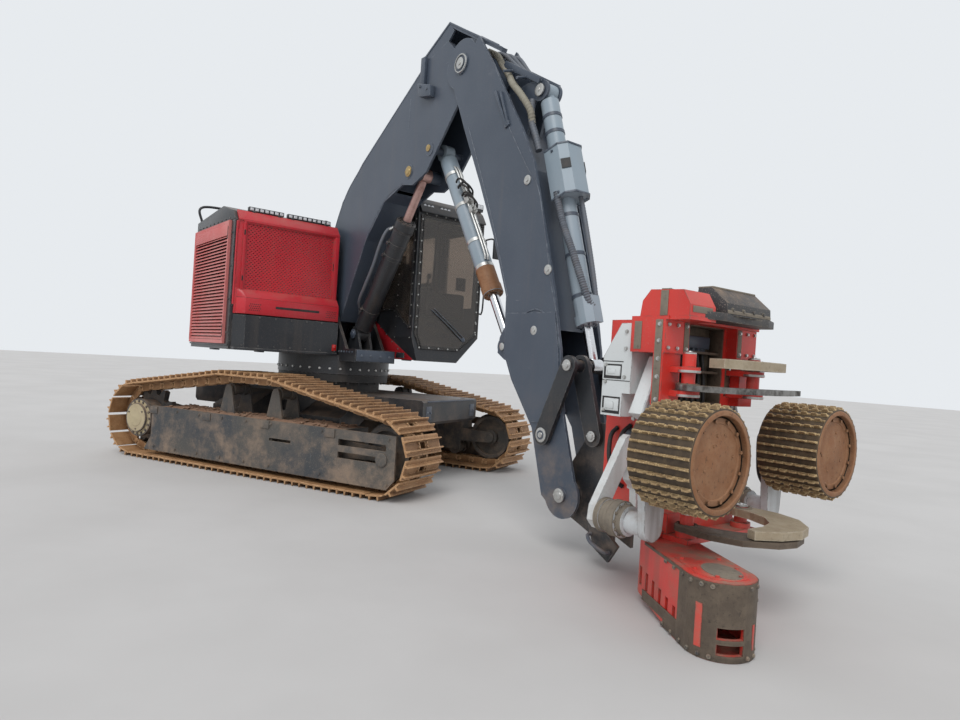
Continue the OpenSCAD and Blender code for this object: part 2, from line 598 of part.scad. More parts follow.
module cab_riser() color(col_red) difference() {
    intersection() {
        side(cab_y0 + riser_in, cab_y1 - riser_in)
            polygon([[cab_x0 + riser_in, deck_z], [housing_x1 + 5, deck_z], [housing_x1 + 5, ring_top + 1],
                [slope_x[1] - (slope_x[1] - slope_x[0]) * (ring_top + 1 - cab_front_z0) / (cab_floor - cab_front_z0), ring_top + 1],
                [slope_x[0], cab_floor], [cab_x0 + riser_in, cab_floor]]);
        facing(cab_x0, cab_x1) polygon(cab_front);
    }
    // Closed hollow
    side(cab_y0 + 110, cab_y1 - 140) polygon([[cab_x0 + 60, deck_z + 40], [slope_x[0] + 250, deck_z + 40],
        [slope_x[0] - 30, cab_floor - 40], [cab_x0 + 60, cab_floor - 40]]);
}
seat_x = 100;
seat_y = (cab_y0 + cab_y1) / 2;
module seat() color("#26282b") translate([seat_x, seat_y, cab_floor + cab_wall]) {
    block([60, -120, 0], [400, 120, 260]);
    block([0, -250, 260], [500, 250, 400]);
    rotate([0, -6, 0]) block([-90, -240, 320], [20, 240, 960]);
    block([-60, -220, 280], [60, 220, 380]);
    pair_y() block([40, 265, 400], [520, 345, 520]);
    pair_y() block([100, 240, 300], [200, 345, 400]);
}

// Boom: two plates with a flange between them, open underneath toward the elbow
elbow = [elbow_x, elbow_z];
boom_outline = [[-60, 2050], [60, 2900], [400, 3560], [900, 3985], [2280, 4850], [2700, 4960],
    [3080, 4600], [3060, 4330], [2420, 3600], [2150, 3500], [1930, 3540], [1540, 3400], [1130, 2980], [560, 1960]];
boom_end_r = 265;
boom_foot_r = 190;
flange_t = 22;
rod_eye = [2060, 3670];
stick_foot = [2470, 3840];
module boom_shape() {
    polygon(boom_outline);
    translate(elbow) circle(boom_end_r, $fn = 64);
    translate(foot) circle(boom_foot_r, $fn = 64);
}
module boom() color(col_steel) difference() {
    union() {
        pair_y() side(boom_half_w - plate_t, boom_half_w) boom_shape();
        side(-boom_half_w + 5, boom_half_w - 5) intersection() {
            difference() {
                polygon(boom_outline);
                offset(delta = -flange_t) polygon(boom_outline);
            }
            polygon([[-200, 1800], [1720, 1800], [1720, 3700], [2300, 4300], [2650, 4700], [3100, 5200], [-200, 5200]]);
        }
        bar_y(foot, boom_foot_r - 60, -boom_half_w, boom_half_w);
        // Bosses of the elbow, cylinder pins and stop
        pair_y() bar_y(stick_foot, 70, boom_half_w - 5, boom_half_w + 6);
        pair_y() bar_y(rod_eye, 80, boom_half_w - 5, boom_half_w + 6);
        pair_y() bar_y(rod_eye, 72, eye_half + 8, boom_half_w - 5);
        bar_y(stick_foot, cyl_pin_r, -boom_half_w, boom_half_w);
        // Cross plate inside, behind the cylinder pins
        side(-boom_half_w + 5, boom_half_w - 5) polygon([[1700, 3530], [1722, 3530], [1722, 3900], [1700, 3900]]);
        // Cover plate along the top
        side(-180, 180) polygon([[590, 3716], [900, 3980], [2190, 4788], [2160, 4836], [875, 4030], [560, 3762]]);
    }
    bar_y(foot, foot_pin_r + pin_gap, -boom_half_w - 1, boom_half_w + 1);
    bar_y(elbow, foot_pin_r + pin_gap, -boom_half_w - 1, boom_half_w + 1);
}
guard_half = 215;
guard_top = [2700, 5120];
// Height of the boom's top edge before the elbow
function boom_top(x) = 4850 + (x - 2280) * 110 / 420;
module elbow_guard() color(col_steel) {
    side(-guard_half, guard_half)
        polygon([[2240, 4930], [guard_top[0], guard_top[1] + 45], [3030, 4961], [3010, 4927], guard_top, [2255, 4890]]);
    // Rim that runs on beside the elbow
    side(-guard_half, -guard_half + 60)
        polygon([[2980, 4992], [3640, 4585], [3620, 4550], [2960, 4959]]);
    pair_y() side(guard_half - 20, guard_half)
        polygon([[2250, 4905], [2290, boom_top(2290) + seat_gap], [2690, boom_top(2690) + seat_gap], [2790, 5050], guard_top + [0, 15]]);
}
// Hydraulic cylinders: an eye, a tube and its gland, then the rod with its own eye
module barrel(a, b, y, r, length, bore_r, eye) difference() {
    union() {
        bar_y(a, eye, y - eye_half, y + eye_half);
        translate([0, y, 0]) toward(a, b) {
            translate([0, 0, eye / 2]) cylinder(h = eye / 2 + 30, r = eye_half - 4, $fn = 48);
            translate([0, 0, eye + 20]) cylinder(h = length - eye - 20, r = r, $fn = 64);
            translate([0, 0, length - 90]) cylinder(h = 90, r = r + 10, $fn = 64);
            children();
        }
    }
    bar_y(a, cyl_pin_r + pin_gap, y - eye_half - 1, y + eye_half + 1);
    translate([0, y, 0]) toward(a, b) translate([0, 0, eye + 45]) cylinder(h = length, r = bore_r + pin_gap, $fn = 64);
}
module rod(a, b, y, r, start, eye) {
    bar_y(b, eye, y - eye_half, y + eye_half);
    translate([0, y, 0]) toward(a, b) translate([0, 0, start]) cylinder(h = gap(a, b) - start - eye / 2, r = r, $fn = 64);
}
boom_barrel_r = 115;
boom_barrel_l = 1680;
module boom_barrel() color(col_black) barrel(barrel_foot, rod_eye, 0, boom_barrel_r, boom_barrel_l, 50, 95);
module boom_rod() color(col_chrome) rod(barrel_foot, rod_eye, 0, 50, 500, 75);

// Stick: two side plates, closed by flanges away from the elbow and the tip
tip = [tip_x, tip_z];
idler_pin = [4610, 960];
tilt_pin = [4870, 1560];
bracket_pin = [5050, 1000];
stick_pin = [3790, 1700];
tilt_foot = [4090, 4080];
stick_in = boom_half_w + fork_gap;
stick_out = stick_in + plate_t;
stick_outline = [[2900, 4400], [3150, 3890], [3470, 3280], [3730, 2750], [3975, 2160], [3990, 1640], [4120, 1400],
    [4430, 1000], [4600, 450], [4830, 300], [5010, 480], [4800, 1150], [4720, 1700], [4600, 2200], [4480, 2600],
    [4240, 3360], [4050, 3700], [3480, 4560], [3300, 4800]];
stick_end_r = 255;
flange_back = 100;
tip_boss_r = 190;
module stick_shape() {
    polygon(stick_outline);
    translate(elbow) circle(stick_end_r, $fn = 64);
    translate(tip) circle(tip_boss_r, $fn = 64);
}
module stick() color(col_steel) {
    difference() {
        union() {
            pair_y() side(stick_in, stick_out) stick_shape();
            // Rear flange, then the front one, which lies back from the plates' edges
            side(-stick_in - 5, stick_in + 5) intersection() {
                difference() {
                    polygon(stick_outline);
                    offset(delta = -flange_t) polygon(stick_outline);
                }
                polygon([[3080, 3850], [2900, 3300], [3900, 1200], [4320, 1000], [4400, 1300], [4200, 2600], [3600, 3700]]);
            }
            side(-stick_in - 5, stick_in + 5) intersection() {
                difference() {
                    offset(delta = -flange_back) polygon(stick_outline);
                    offset(delta = -flange_back - flange_t) polygon(stick_outline);
                }
                polygon([[3560, 4100], [3900, 4600], [5200, 2000], [4900, 1750], [4450, 1900], [4060, 3000]]);
            }
            // Doubler plates low on the sides, and bosses
            pair_y() side(stick_out - 2, stick_out + 10)
                polygon([[4010, 2000], [4640, 2000], [4700, 1700], [4780, 1150], [4560, 1060], [4420, 1050], [4140, 1420],
                    [4010, 1660]]);
            pair_y() bar_y(elbow, 110, stick_out - 5, stick_out + 14);
            // Lugs of the stick cylinder's rod and of the tilt cylinder's foot
            pair_y() side(eye_half + 5, eye_half + 5 + lug_t) {
                polygon([[3700, 1640], [3800, 1580], [4060, 1500], [4060, 2100], [3960, 2160], [3720, 1790]]);
                translate(stick_pin) circle(95, $fn = 48);
            }
            pair_y() side(eye_half + 5, eye_half + 5 + lug_t) {
                polygon([[3640, 4150], [3720, 3960], [3830, 3790], [3930, 3700], [3985, 3900], [4010, 3990], [4100, 4172], [3900, 4200]]);
                translate(tilt_foot) circle(95, $fn = 48);
            }
            bar_y(tilt_foot, cyl_pin_r, -eye_half - lug_t - 15, eye_half + lug_t + 15);
            bar_y(elbow, foot_pin_r, -stick_out - 20, stick_out + 20);
            bar_y(tip, foot_pin_r, -stick_out - 20, stick_out + 20);
            pair_y() bar_y(idler_pin, cyl_pin_r, stick_in, idler_out + 12);
        }
        pair_y() bar_y(stick_pin, cyl_pin_r, eye_half + 6, eye_half + 20 + lug_t);
    }
}
stick_barrel_l = 1900;
module stick_barrel() color(col_steel) barrel(stick_foot, stick_pin, 0, 95, stick_barrel_l, 52, 90);
module stick_rod() color(col_chrome) rod(stick_foot, stick_pin, 0, 52, 420, 75);

// Linkage of the head: two idler links, one tube to the tilt links, the tilt cylinder between them
idler_in = stick_out + 18;
idler_out = idler_in + 35;
tongue_in = 95;
tongue_out = 130;
tilt_in = tongue_out + 6;
tilt_out = tilt_in + 35;
link_tube_r = 48;
module idler_links() color(col_black) pair_y() difference() {
    union() {
        side(idler_in, idler_out) link_shape(idler_pin, tilt_pin, 85, 80);
        bar_y(tilt_pin, link_tube_r, eye_half + 6, idler_out + 12);
    }
    bar_y(idler_pin, cyl_pin_r + pin_gap, idler_in - 1, idler_out + 1);
}
module tilt_links() color(col_black) pair_y() difference() {
    side(tilt_in, tilt_out) link_shape(tilt_pin, bracket_pin, 90, 85);
    bar_y(tilt_pin, link_tube_r + 8, tilt_in - 1, tilt_out + 1);
    bar_y(bracket_pin, cyl_pin_r + pin_gap, tilt_in - 1, tilt_out + 1);
}
tilt_barrel_l = 2280;
cover_s = [640, 1120];
module cover_plan(inset) polygon([[38, -150 + inset], [-135, -150 + inset], [-200 + inset, -85 + inset / 2],
    [-200 + inset, 85 - inset / 2], [-135, 150 - inset], [38, 150 - inset]]);
module tilt_barrel() color(col_steel) barrel(tilt_foot, tilt_pin, 0, 85, tilt_barrel_l, 42, 80) {
    // Box over the hose ends: its back is open, two plates hold it to the tube
    translate([0, 0, cover_s[0]]) linear_extrude(cover_s[1] - cover_s[0]) difference() {
        cover_plan(0);
        translate([1, 0]) cover_plan(14);
    }
    for (s = [cover_s[0] + 10, cover_s[1] - 24]) translate([0, 0, s]) linear_extrude(14) cover_plan(5);
    // Small guard beside the gland
    translate([0, 0, tilt_barrel_l - 230]) linear_extrude(235) polygon([[-20, -80], [-20, -112], [-95, -112], [-150, -60],
        [-150, 40], [-118, 40], [-118, -48], [-82, -84]]);
    translate([0, 0, tilt_barrel_l - 130]) linear_extrude(20) polygon([[-20, -112], [-95, -112], [-150, -60], [-150, 40], [-60, 40], [-20, 0]]);
}
module tilt_rod() color(col_chrome) rod(tilt_foot, tilt_pin, 0, 42, 1500, 65);

// Head
head_x0 = 5300;
head_x1 = 5990;
module head_bracket() color(col_black) {
    difference() {
        union() {
            pair_y() side(tongue_in, tongue_out) {
                polygon([[4830, 300], [5290, 130], [5290, 1130], [5060, 1110], [4960, 980], [4680, 560]]);
                translate(tip) circle(175, $fn = 48);
                translate(bracket_pin) circle(110, $fn = 48);
            }
            pair_y() bar_y(tip, 110, tongue_in, stick_in - pin_gap);
            block([head_x0 - 40, -240, 300], [head_x0 - seat_gap, 240, 1130]);
            // Plate that hangs from its foot
            side(-225, -195) polygon([[5110, 330], [5250, 330], [5420, 210], [5330, 70], [5180, 150]]);
            block([5120, -225, 300], [head_x0 - 30, -90, 330]);
            side(-tongue_in - 5, tongue_in + 5) polygon([[5140, 420], [5165, 420], [5165, 1090], [5140, 1090]]);
            bar_y(bracket_pin, cyl_pin_r, -tilt_out - 12, tilt_out + 12);
        }
        bar_y(tip, foot_pin_r + pin_gap, -stick_out - 1, stick_out + 1);
    }
}
arm_pivot = [-drum_y, 570];
arm_pivot_r = 60;
arm_x = [5640, 5700];
knife_pin_r = 45;
upper_knife_x = 6070;
upper_knife_y = 400;
upper_knife_z = [1440, 1600];
knife_t = 38;
thick_t = 62;
lower_knife_x = 6080;
lower_knife_y = 330;
lower_knife_z = 505;
saw_pivot = [6000, -330];
column_x1 = 5975;
box_x1 = 5985;
yoke_z = [440, 480];
lower_plate_z = [430, 465];
module head_frame() color(col_red) {
    // Spine: rear plate, side plates, floor, roof and the plate behind the stem
    block([head_x0, -300, 440], [head_x0 + 40, 300, 1925]);
    pair_y() side(260, 300) polygon([[head_x0 + 20, 440], [5900, 450], [5900, 1920], [head_x0 + 20, 1920]]);
    block([5740, -270, 460], [5775, 270, 1910]);
    block([head_x0 + 20, -300, 1900], [5900, 300, 1925]);
    block([5700, -560, 1900], [box_x1 + 20, 560, 1925]);
    block([5900, -552, 1900], [6160, -262, 1925]);
    // Upper boxes with the two front columns
    pair_y() block([5700, 295, 1680], [box_x1, 560, 1905]);
    pair_y() block([5895, 380, 1330], [column_x1, 560, 1905]);
    pair_y() block([5700, 290, 1330], [5900, 400, 1400]);
    // Cover on the right, top knife and the hood behind it
    side(-550, -265) polygon([[5760, 1924], [6155, 1924], [6155, 2000], [6100, 2095], [5840, 2105], [5775, 2030]]);
    translate([0, 0, 1920]) linear_extrude(48) polygon([[5890, -260], [6000, -300], [6150, -390], [6195, -200], [6170, 70],
        [6200, 330], [6130, 530], [5890, 530]]);
    side(-180, 370) polygon([[5940, 1960], [6190, 1960], [6185, 2040], [6060, 2150], [5960, 2150]]);
    // Lower yoke with the lugs of the drum arms, and the shelf of the lower knives and the saw
    block([5500, -500, yoke_z[0]], [5950, 500, yoke_z[1]]);
    block([5800, -410, lower_plate_z[0]], [6150, 410, lower_plate_z[1]]);
    for (y = [-lower_knife_y, lower_knife_y]) bar_z([lower_knife_x, y], 70, lower_plate_z[1] - 5, lower_knife_z - 3);
    block([5890, -400, yoke_z[0]], [column_x1, 400, 600]);
    for (s = [-1, 1]) for (z = upper_knife_z) bar_z([upper_knife_x, s * upper_knife_y], 75, z - 45, z - 3);
    for (z = upper_knife_z) pair_y() block([5890, 330, z - 45], [upper_knife_x + 10, 470, z - 3]);
    // Pins of the knives
    for (s = [-1, 1]) bar_z([upper_knife_x, s * upper_knife_y], knife_pin_r, upper_knife_z[0] - 20, upper_knife_z[1] + thick_t + 20);
    for (s = [-1, 1]) bar_z([lower_knife_x, s * lower_knife_y], knife_pin_r, lower_plate_z[0], lower_knife_z + 45 + 55 + 10);
}
module bar_x(p, r, x0, x1) facing(x0, x1) translate(p) circle(r, $fn = 48);
module head_cover() color(col_white) pair_y() {
    side(300 + seat_gap, 530) polygon([[5440, 1220], [5625, 1220], [5625, 1385], [5695, 1385], [5695, 1880], [5590, 1880],
        [5440, 1640]]);
    // Guard of the hoses above the drum
    facing(5745, 5850) polygon([[300 + seat_gap, 1585], [300 + seat_gap, 1655], [405, 1655], [592, 1258], [504, 1216],
        [330, 1585]]);
    // Bracket of the drum arm's pin: two legs to the head's side
    facing(arm_x[0], arm_x[1]) difference() {
        polygon([[828, 533], [816, 631], [546, 1074], [505, 1101], [468, 1083], [424, 800], [300 + seat_gap, 742], [300 + seat_gap, 520],
            [700, 469], [772, 474]]);
        polygon([[650, 660], [500, 905], [478, 780], [400, 712], [390, 592], [600, 572]]);
    }
    bar_x([drum_y, arm_pivot[1]], arm_pivot_r, arm_x[0] + 10, 6000);
}
arm_plate_x = drum_x1 - drum_l - 65;
module roller_arm() color(col_white) difference() {
    union() {
        // Stepped hub on the pin, then the plate up to the drum's axle
        for (h = [[arm_x[1] + 5, 5745, 112], [5740, 5805, 88], [5800, 5880, 118], [5875, 5930, 98], [5925, arm_plate_x + 5, 74]])
            bar_x([drum_y, arm_pivot[1]], h[2], h[0], h[1]);
        facing(arm_plate_x, arm_plate_x + 58) link_shape([drum_y, arm_pivot[1]], [drum_y, drum_z], 90, 125);
        // Motor and gear housing inside the drum
        bar_x([drum_y, drum_z], 105, arm_plate_x + 50, drum_x1 - 90);
    }
    bar_x([drum_y, arm_pivot[1]], arm_pivot_r + pin_gap, arm_x[1] - 1, 6004);
}
module roller_arm_left() roller_arm();
module roller_arm_right() mirror([0, 1, 0]) roller_arm();
// Drum with rows of studs, drawn on the left
stud_rows = 30;
module feed_drum() color(col_track) {
    x0 = drum_x1 - drum_l;
    shell_r = drum_r - 26;
    difference() {
        union() {
            bar_x([drum_y, drum_z], shell_r, x0, drum_x1 - 15);
            facing(x0 + 8, drum_x1) translate([drum_y, drum_z]) difference() {
                union() {
                    circle(shell_r + 4, $fn = 96);
                    for (i = [0 : stud_rows - 1]) rotate(i * 360 / stud_rows)
                        polygon([[shell_r - 10, -11], [drum_r, -5], [drum_r, 5], [shell_r - 10, 11]]);
                }
                circle(shell_r - 40, $fn = 96);
            }
        }
        bar_x([drum_y, drum_z], shell_r - 30, x0 - 1, x0 + 70);
        bar_x([drum_y, drum_z], shell_r - 30, drum_x1 - 55, drum_x1 + 1);
        bar_x([drum_y, drum_z], 105 + pin_gap, x0, drum_x1 - 85);
    }
    bar_x([drum_y, drum_z], shell_r - 55, drum_x1 - 60, drum_x1 - 35);
}
module feed_drum_left() feed_drum();
module feed_drum_right() mirror([0, 1, 0]) feed_drum();
// Knives in plan, from the pin at the left and round the front of the stem
module pointed_knife() polygon([[-55, 55], [60, 95], [200, 80], [310, -10], [365, -160], [380, -420], [345, -720],
    [285, -950], [255, -930], [270, -700], [270, -430], [240, -240], [160, -120], [0, -78], [-60, -50]]);
module blunt_knife() polygon([[-55, 55], [60, 95], [180, 75], [255, -20], [285, -160], [290, -420], [262, -600],
    [215, -730], [95, -715], [125, -600], [160, -420], [150, -240], [95, -110], [0, -78], [-60, -50]]);
module hooked_knife() polygon([[-55, 50], [80, 90], [230, 90], [420, 20], [565, -150], [600, -300], [560, -470],
    [460, -620], [400, -600], [410, -440], [370, -280], [270, -160], [120, -90], [0, -75], [-60, -50]]);
module knife(pin, z, t = knife_t) difference() {
    union() {
        bar_z(pin, knife_boss_r, z, z + t);
        translate([pin[0], pin[1], z]) linear_extrude(t) children();
    }
    bar_z(pin, knife_pin_r + pin_gap, z - 1, z + t + 1);
}
knife_boss_r = 80;
upper_pin = [upper_knife_x, upper_knife_y];
lower_pin = [lower_knife_x, lower_knife_y];
module upper_knife_left() color(col_track) knife(upper_pin, upper_knife_z[1], thick_t) blunt_knife();
module upper_knife_right() color("silver") mirror([0, 1, 0]) knife(upper_pin, upper_knife_z[0]) pointed_knife();
module lower_knife_left() color(col_track) knife(lower_pin, lower_knife_z + 45, 55) hooked_knife();
module lower_knife_right() color(col_track) mirror([0, 1, 0]) knife(lower_pin, lower_knife_z) hooked_knife();
// Saw box: a long box that deepens toward its round nose, slotted on its left for the bar
box_back = [6000, -400];
box_back_r = 185;
box_top = lower_plate_z[0] - seat_gap;
box_t = 25;
bar_z0 = 330;
bar_t = 12;
bar_nose = [6560, -700];
bar_l = gap(saw_pivot, bar_nose) + 45;
bar_angle = atan2(bar_nose[1] - saw_pivot[1], bar_nose[0] - saw_pivot[0]);
bar_swing = 95;
module box_plan(inset) hull() {
    translate(saw_nose) circle(saw_nose_r - inset, $fn = 64);
    translate(box_back) circle(box_back_r - inset, $fn = 64);
}
// Draws its children with x along the box from its back to its nose
module along_box() translate([box_back[0], box_back[1], 0])
    rotate([0, 0, atan2(saw_nose[1] - box_back[1], saw_nose[0] - box_back[0])]) children();
module box_body(inset) intersection() {
    linear_extrude(box_top) box_plan(inset);
    along_box() side(-400, 400) polygon([[-400, 190 + inset], [-60, 75 + inset], [540, inset], [1200, inset],
        [1200, box_top - inset], [-400, box_top - inset]]);
}
module saw_box() color(col_red) {
    difference() {
        box_body(0);
        box_body(box_t);
        // Slot for the bar's swing
        translate([0, 0, bar_z0 - 8]) linear_extrude(bar_t + 16) polygon(concat([saw_pivot],
            [for (a = [bar_angle - 5 : 8 : bar_angle + bar_swing + 52]) saw_pivot + (bar_l + 12) * unit(a)]));
        // Slots low in the right side, and two windows in the nose
        along_box() {
            for (i = [0 : 5]) block([-20 + i * 105, -300, 130 - i * 14], [20 + i * 105, -100, 250 - i * 14]);
            block([700, -95, 125], [900, 45, 185]);
            block([700, -95, 40], [900, 45, 95]);
        }
    }
    bar_z(saw_pivot, saw_pin_r, bar_z0 - 30, box_top - box_t + 5);
    bar_z(saw_pivot, saw_pin_r + 20, bar_z0 - 30, bar_z0 - 6);
}
saw_pin_r = 30;
module saw_bar() color("silver") translate([0, 0, bar_z0]) linear_extrude(bar_t) difference() {
    hull() {
        translate(saw_pivot) circle(70, $fn = 48);
        translate(bar_nose) circle(45, $fn = 48);
    }
    translate(saw_pivot) circle(saw_pin_r + pin_gap, $fn = 48);
}

in_place() car_body();
in_place() swing_bearing();
in_place() track_frame_right();
in_place() track_frame_left();
in_place() track_right();
in_place() track_left();
in_place() final_drives();
in_place() idlers();
in_place() swing_frame();
in_place() counterweight();
in_place() engine_hood();
in_place() engine_block();
in_place() cooler_housing();
in_place() louvre_door();
in_place() grille_door();
in_place() side_tank();
in_place() cab_riser();
in_place() cab_shell();
in_place() cab_windows();
in_place() seat();
in_place() cab_door();
in_place() cab_door_window();
in_place() boom();
in_place() elbow_guard();
in_place() boom_barrel();
in_place() boom_rod();
in_place() stick();
in_place() stick_barrel();
in_place() stick_rod();
in_place() tilt_barrel();
in_place() tilt_rod();
in_place() idler_links();
in_place() tilt_links();
in_place() head_bracket();
in_place() head_frame();
in_place() head_cover();
in_place() roller_arm_right();
in_place() roller_arm_left();
in_place() feed_drum_right();
in_place() feed_drum_left();
in_place() upper_knife_right();
in_place() upper_knife_left();
in_place() lower_knife_right();
in_place() lower_knife_left();
in_place() saw_box();
in_place() saw_bar();
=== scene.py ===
"""Looks of a forestry harvester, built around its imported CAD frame."""
import itertools
import math
import random

import bmesh
import bpy
from mathutils import Matrix, Vector


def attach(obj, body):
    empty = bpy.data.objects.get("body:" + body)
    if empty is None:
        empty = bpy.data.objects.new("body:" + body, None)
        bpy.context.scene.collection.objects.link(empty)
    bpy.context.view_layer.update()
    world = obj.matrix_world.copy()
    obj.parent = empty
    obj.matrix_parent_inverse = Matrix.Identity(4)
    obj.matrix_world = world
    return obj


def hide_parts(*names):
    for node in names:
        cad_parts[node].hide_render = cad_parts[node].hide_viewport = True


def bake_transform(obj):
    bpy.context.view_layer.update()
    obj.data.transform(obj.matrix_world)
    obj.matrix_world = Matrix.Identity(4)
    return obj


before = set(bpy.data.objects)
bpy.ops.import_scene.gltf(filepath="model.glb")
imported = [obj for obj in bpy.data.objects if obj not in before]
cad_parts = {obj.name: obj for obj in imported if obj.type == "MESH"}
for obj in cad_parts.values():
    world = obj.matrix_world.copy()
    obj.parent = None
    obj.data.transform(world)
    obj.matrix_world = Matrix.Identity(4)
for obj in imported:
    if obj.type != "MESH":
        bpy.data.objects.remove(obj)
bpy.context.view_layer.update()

# Spaces of the source: millimetres about the swing axis, for the house and for the turned undercarriage
SWING_X = -1.9183736
CARRIER_TURN = math.radians(25)
MM = Matrix.Scale(0.001, 4)
HOUSE = Matrix.Translation((SWING_X, 0, 0)) @ MM
CARRIER = Matrix.Translation((SWING_X, 0, 0)) @ Matrix.Rotation(CARRIER_TURN, 4, "Z") @ MM
dice = random.Random(7)


# Camera of the photograph, fitted to the part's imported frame
FOCAL_PX = 670.86
FRAME_W = 960
SENSOR_MM = 36
YAW, PITCH, ROLL = math.radians(141.88), math.radians(0.095), math.radians(3.627)
EYE = (8.7123 + SWING_X, -4.2344, 1.5474)
forward = Vector((math.cos(YAW) * math.cos(PITCH), math.sin(YAW) * math.cos(PITCH), math.sin(PITCH)))
level_right = Vector((math.sin(YAW), -math.cos(YAW), 0))
level_up = level_right.cross(forward)
right = level_right * math.cos(ROLL) + level_up * math.sin(ROLL)
up = level_up * math.cos(ROLL) - level_right * math.sin(ROLL)
camera = bpy.data.objects.new("camera", bpy.data.cameras.new("camera"))
camera.data.sensor_width = SENSOR_MM
camera.data.lens = FOCAL_PX / FRAME_W * SENSOR_MM
camera.data.clip_end = 200
camera.matrix_world = Matrix((*[(right[k], up[k], -forward[k], EYE[k]) for k in range(3)], (0, 0, 0, 1)))
bpy.context.scene.collection.objects.link(camera)
bpy.context.scene.camera = camera


class Look:
    """A procedural material, in the coordinates that the piece keeps when it moves."""

    def __init__(self, name):
        self.mat = bpy.data.materials.new(name)
        self.mat.use_nodes = True
        self.tree = self.mat.node_tree
        self.shader = self.tree.nodes["Principled BSDF"]
        coords = self.node("TexCoord")
        self.at = coords.outputs["Object"]
        self.facing = coords.outputs["Normal"]
        self.normal = self.node("NewGeometry").outputs["Normal"]

    def put(self, socket, value):
        if isinstance(value, bpy.types.NodeSocket):
            self.tree.links.new(value, socket)
        else:
            socket.default_value = value

    def node(self, kind, settings=None, **inputs):
        """A new node with its own settings; an input's name has its spaces as underscores."""
        node = self.tree.nodes.new("ShaderNode" + kind)
        for key, value in (settings or {}).items():
            setattr(node, key, value)
        for key, value in inputs.items():
            self.put(node.inputs[key.replace("_", " ")], value)
        return node

    def set(self, **values):
        for name, value in values.items():
            self.put(self.shader.inputs[name.replace("_", " ")], value)

    def math(self, operation, a, b=0.0, clamp=False):
        node = self.node("Math", {"operation": operation, "use_clamp": clamp})
        self.put(node.inputs[0], a)
        self.put(node.inputs[1], b)
        return node.outputs[0]

    def times(self, a, b):
        return self.math("MULTIPLY", a, b)

    def plus(self, a, b):
        return self.math("ADD", a, b, clamp=True)

    def most(self, a, b):
        return self.math("MAXIMUM", a, b)

    def noise(self, scale, detail=4.0, rough=0.55, stretch=(1, 1, 1), turn=(0, 0, 0)):
        mapping = self.node("Mapping", Vector=self.at, Rotation=turn, Scale=stretch)
        node = self.node("TexNoise", Vector=mapping.outputs[0], Scale=scale, Detail=detail, Roughness=rough)
        return node.outputs["Fac"]

    def between(self, value, low, high, top=1.0):
        node = self.node("MapRange", {"interpolation_type": "SMOOTHSTEP"}, Value=value, From_Min=low,
                         From_Max=high, To_Max=top)
        return node.outputs["Result"]

    def mix(self, factor, a, b):
        node = self.node("Mix", {"data_type": "RGBA"})
        self.put(node.inputs[0], factor)
        for socket, colour in ((node.inputs[6], a), (node.inputs[7], b)):
            self.put(socket, colour if isinstance(colour, bpy.types.NodeSocket) else (*colour, 1))
        return node.outputs[2]

    def axis(self, vector, index):
        return self.node("SeparateXYZ", Vector=vector).outputs[index]

    def edges(self, radius, strength=1.0):
        """1 along the convex and concave edges, 0 away from them."""
        bevel = self.node("Bevel", {"samples": 5}, Radius=radius)
        dot = self.node("VectorMath", {"operation": "DOT_PRODUCT"})
        self.put(dot.inputs[0], bevel.outputs[0])
        self.put(dot.inputs[1], self.normal)
        return self.between(dot.outputs["Value"], 0.99, 0.86, strength)

    def hollows(self, distance):
        """1 in corners and recesses, 0 in the open: the mask where shade is painted."""
        node = self.node("AmbientOcclusion", {"samples": 5}, Distance=distance)
        return self.between(node.outputs["AO"], 0.85, 0.35)

    def bump(self, height, distance=0.002, strength=0.5):
        node = self.node("Bump", Height=height, Strength=strength, Distance=distance)
        self.set(Normal=node.outputs[0])

    def up_facing(self):
        return self.between(self.axis(self.facing, 2), 0.25, 0.95)


DUST = (0.30, 0.22, 0.16)
STEEL = (0.30, 0.28, 0.26)
RUST = (0.20, 0.085, 0.04)


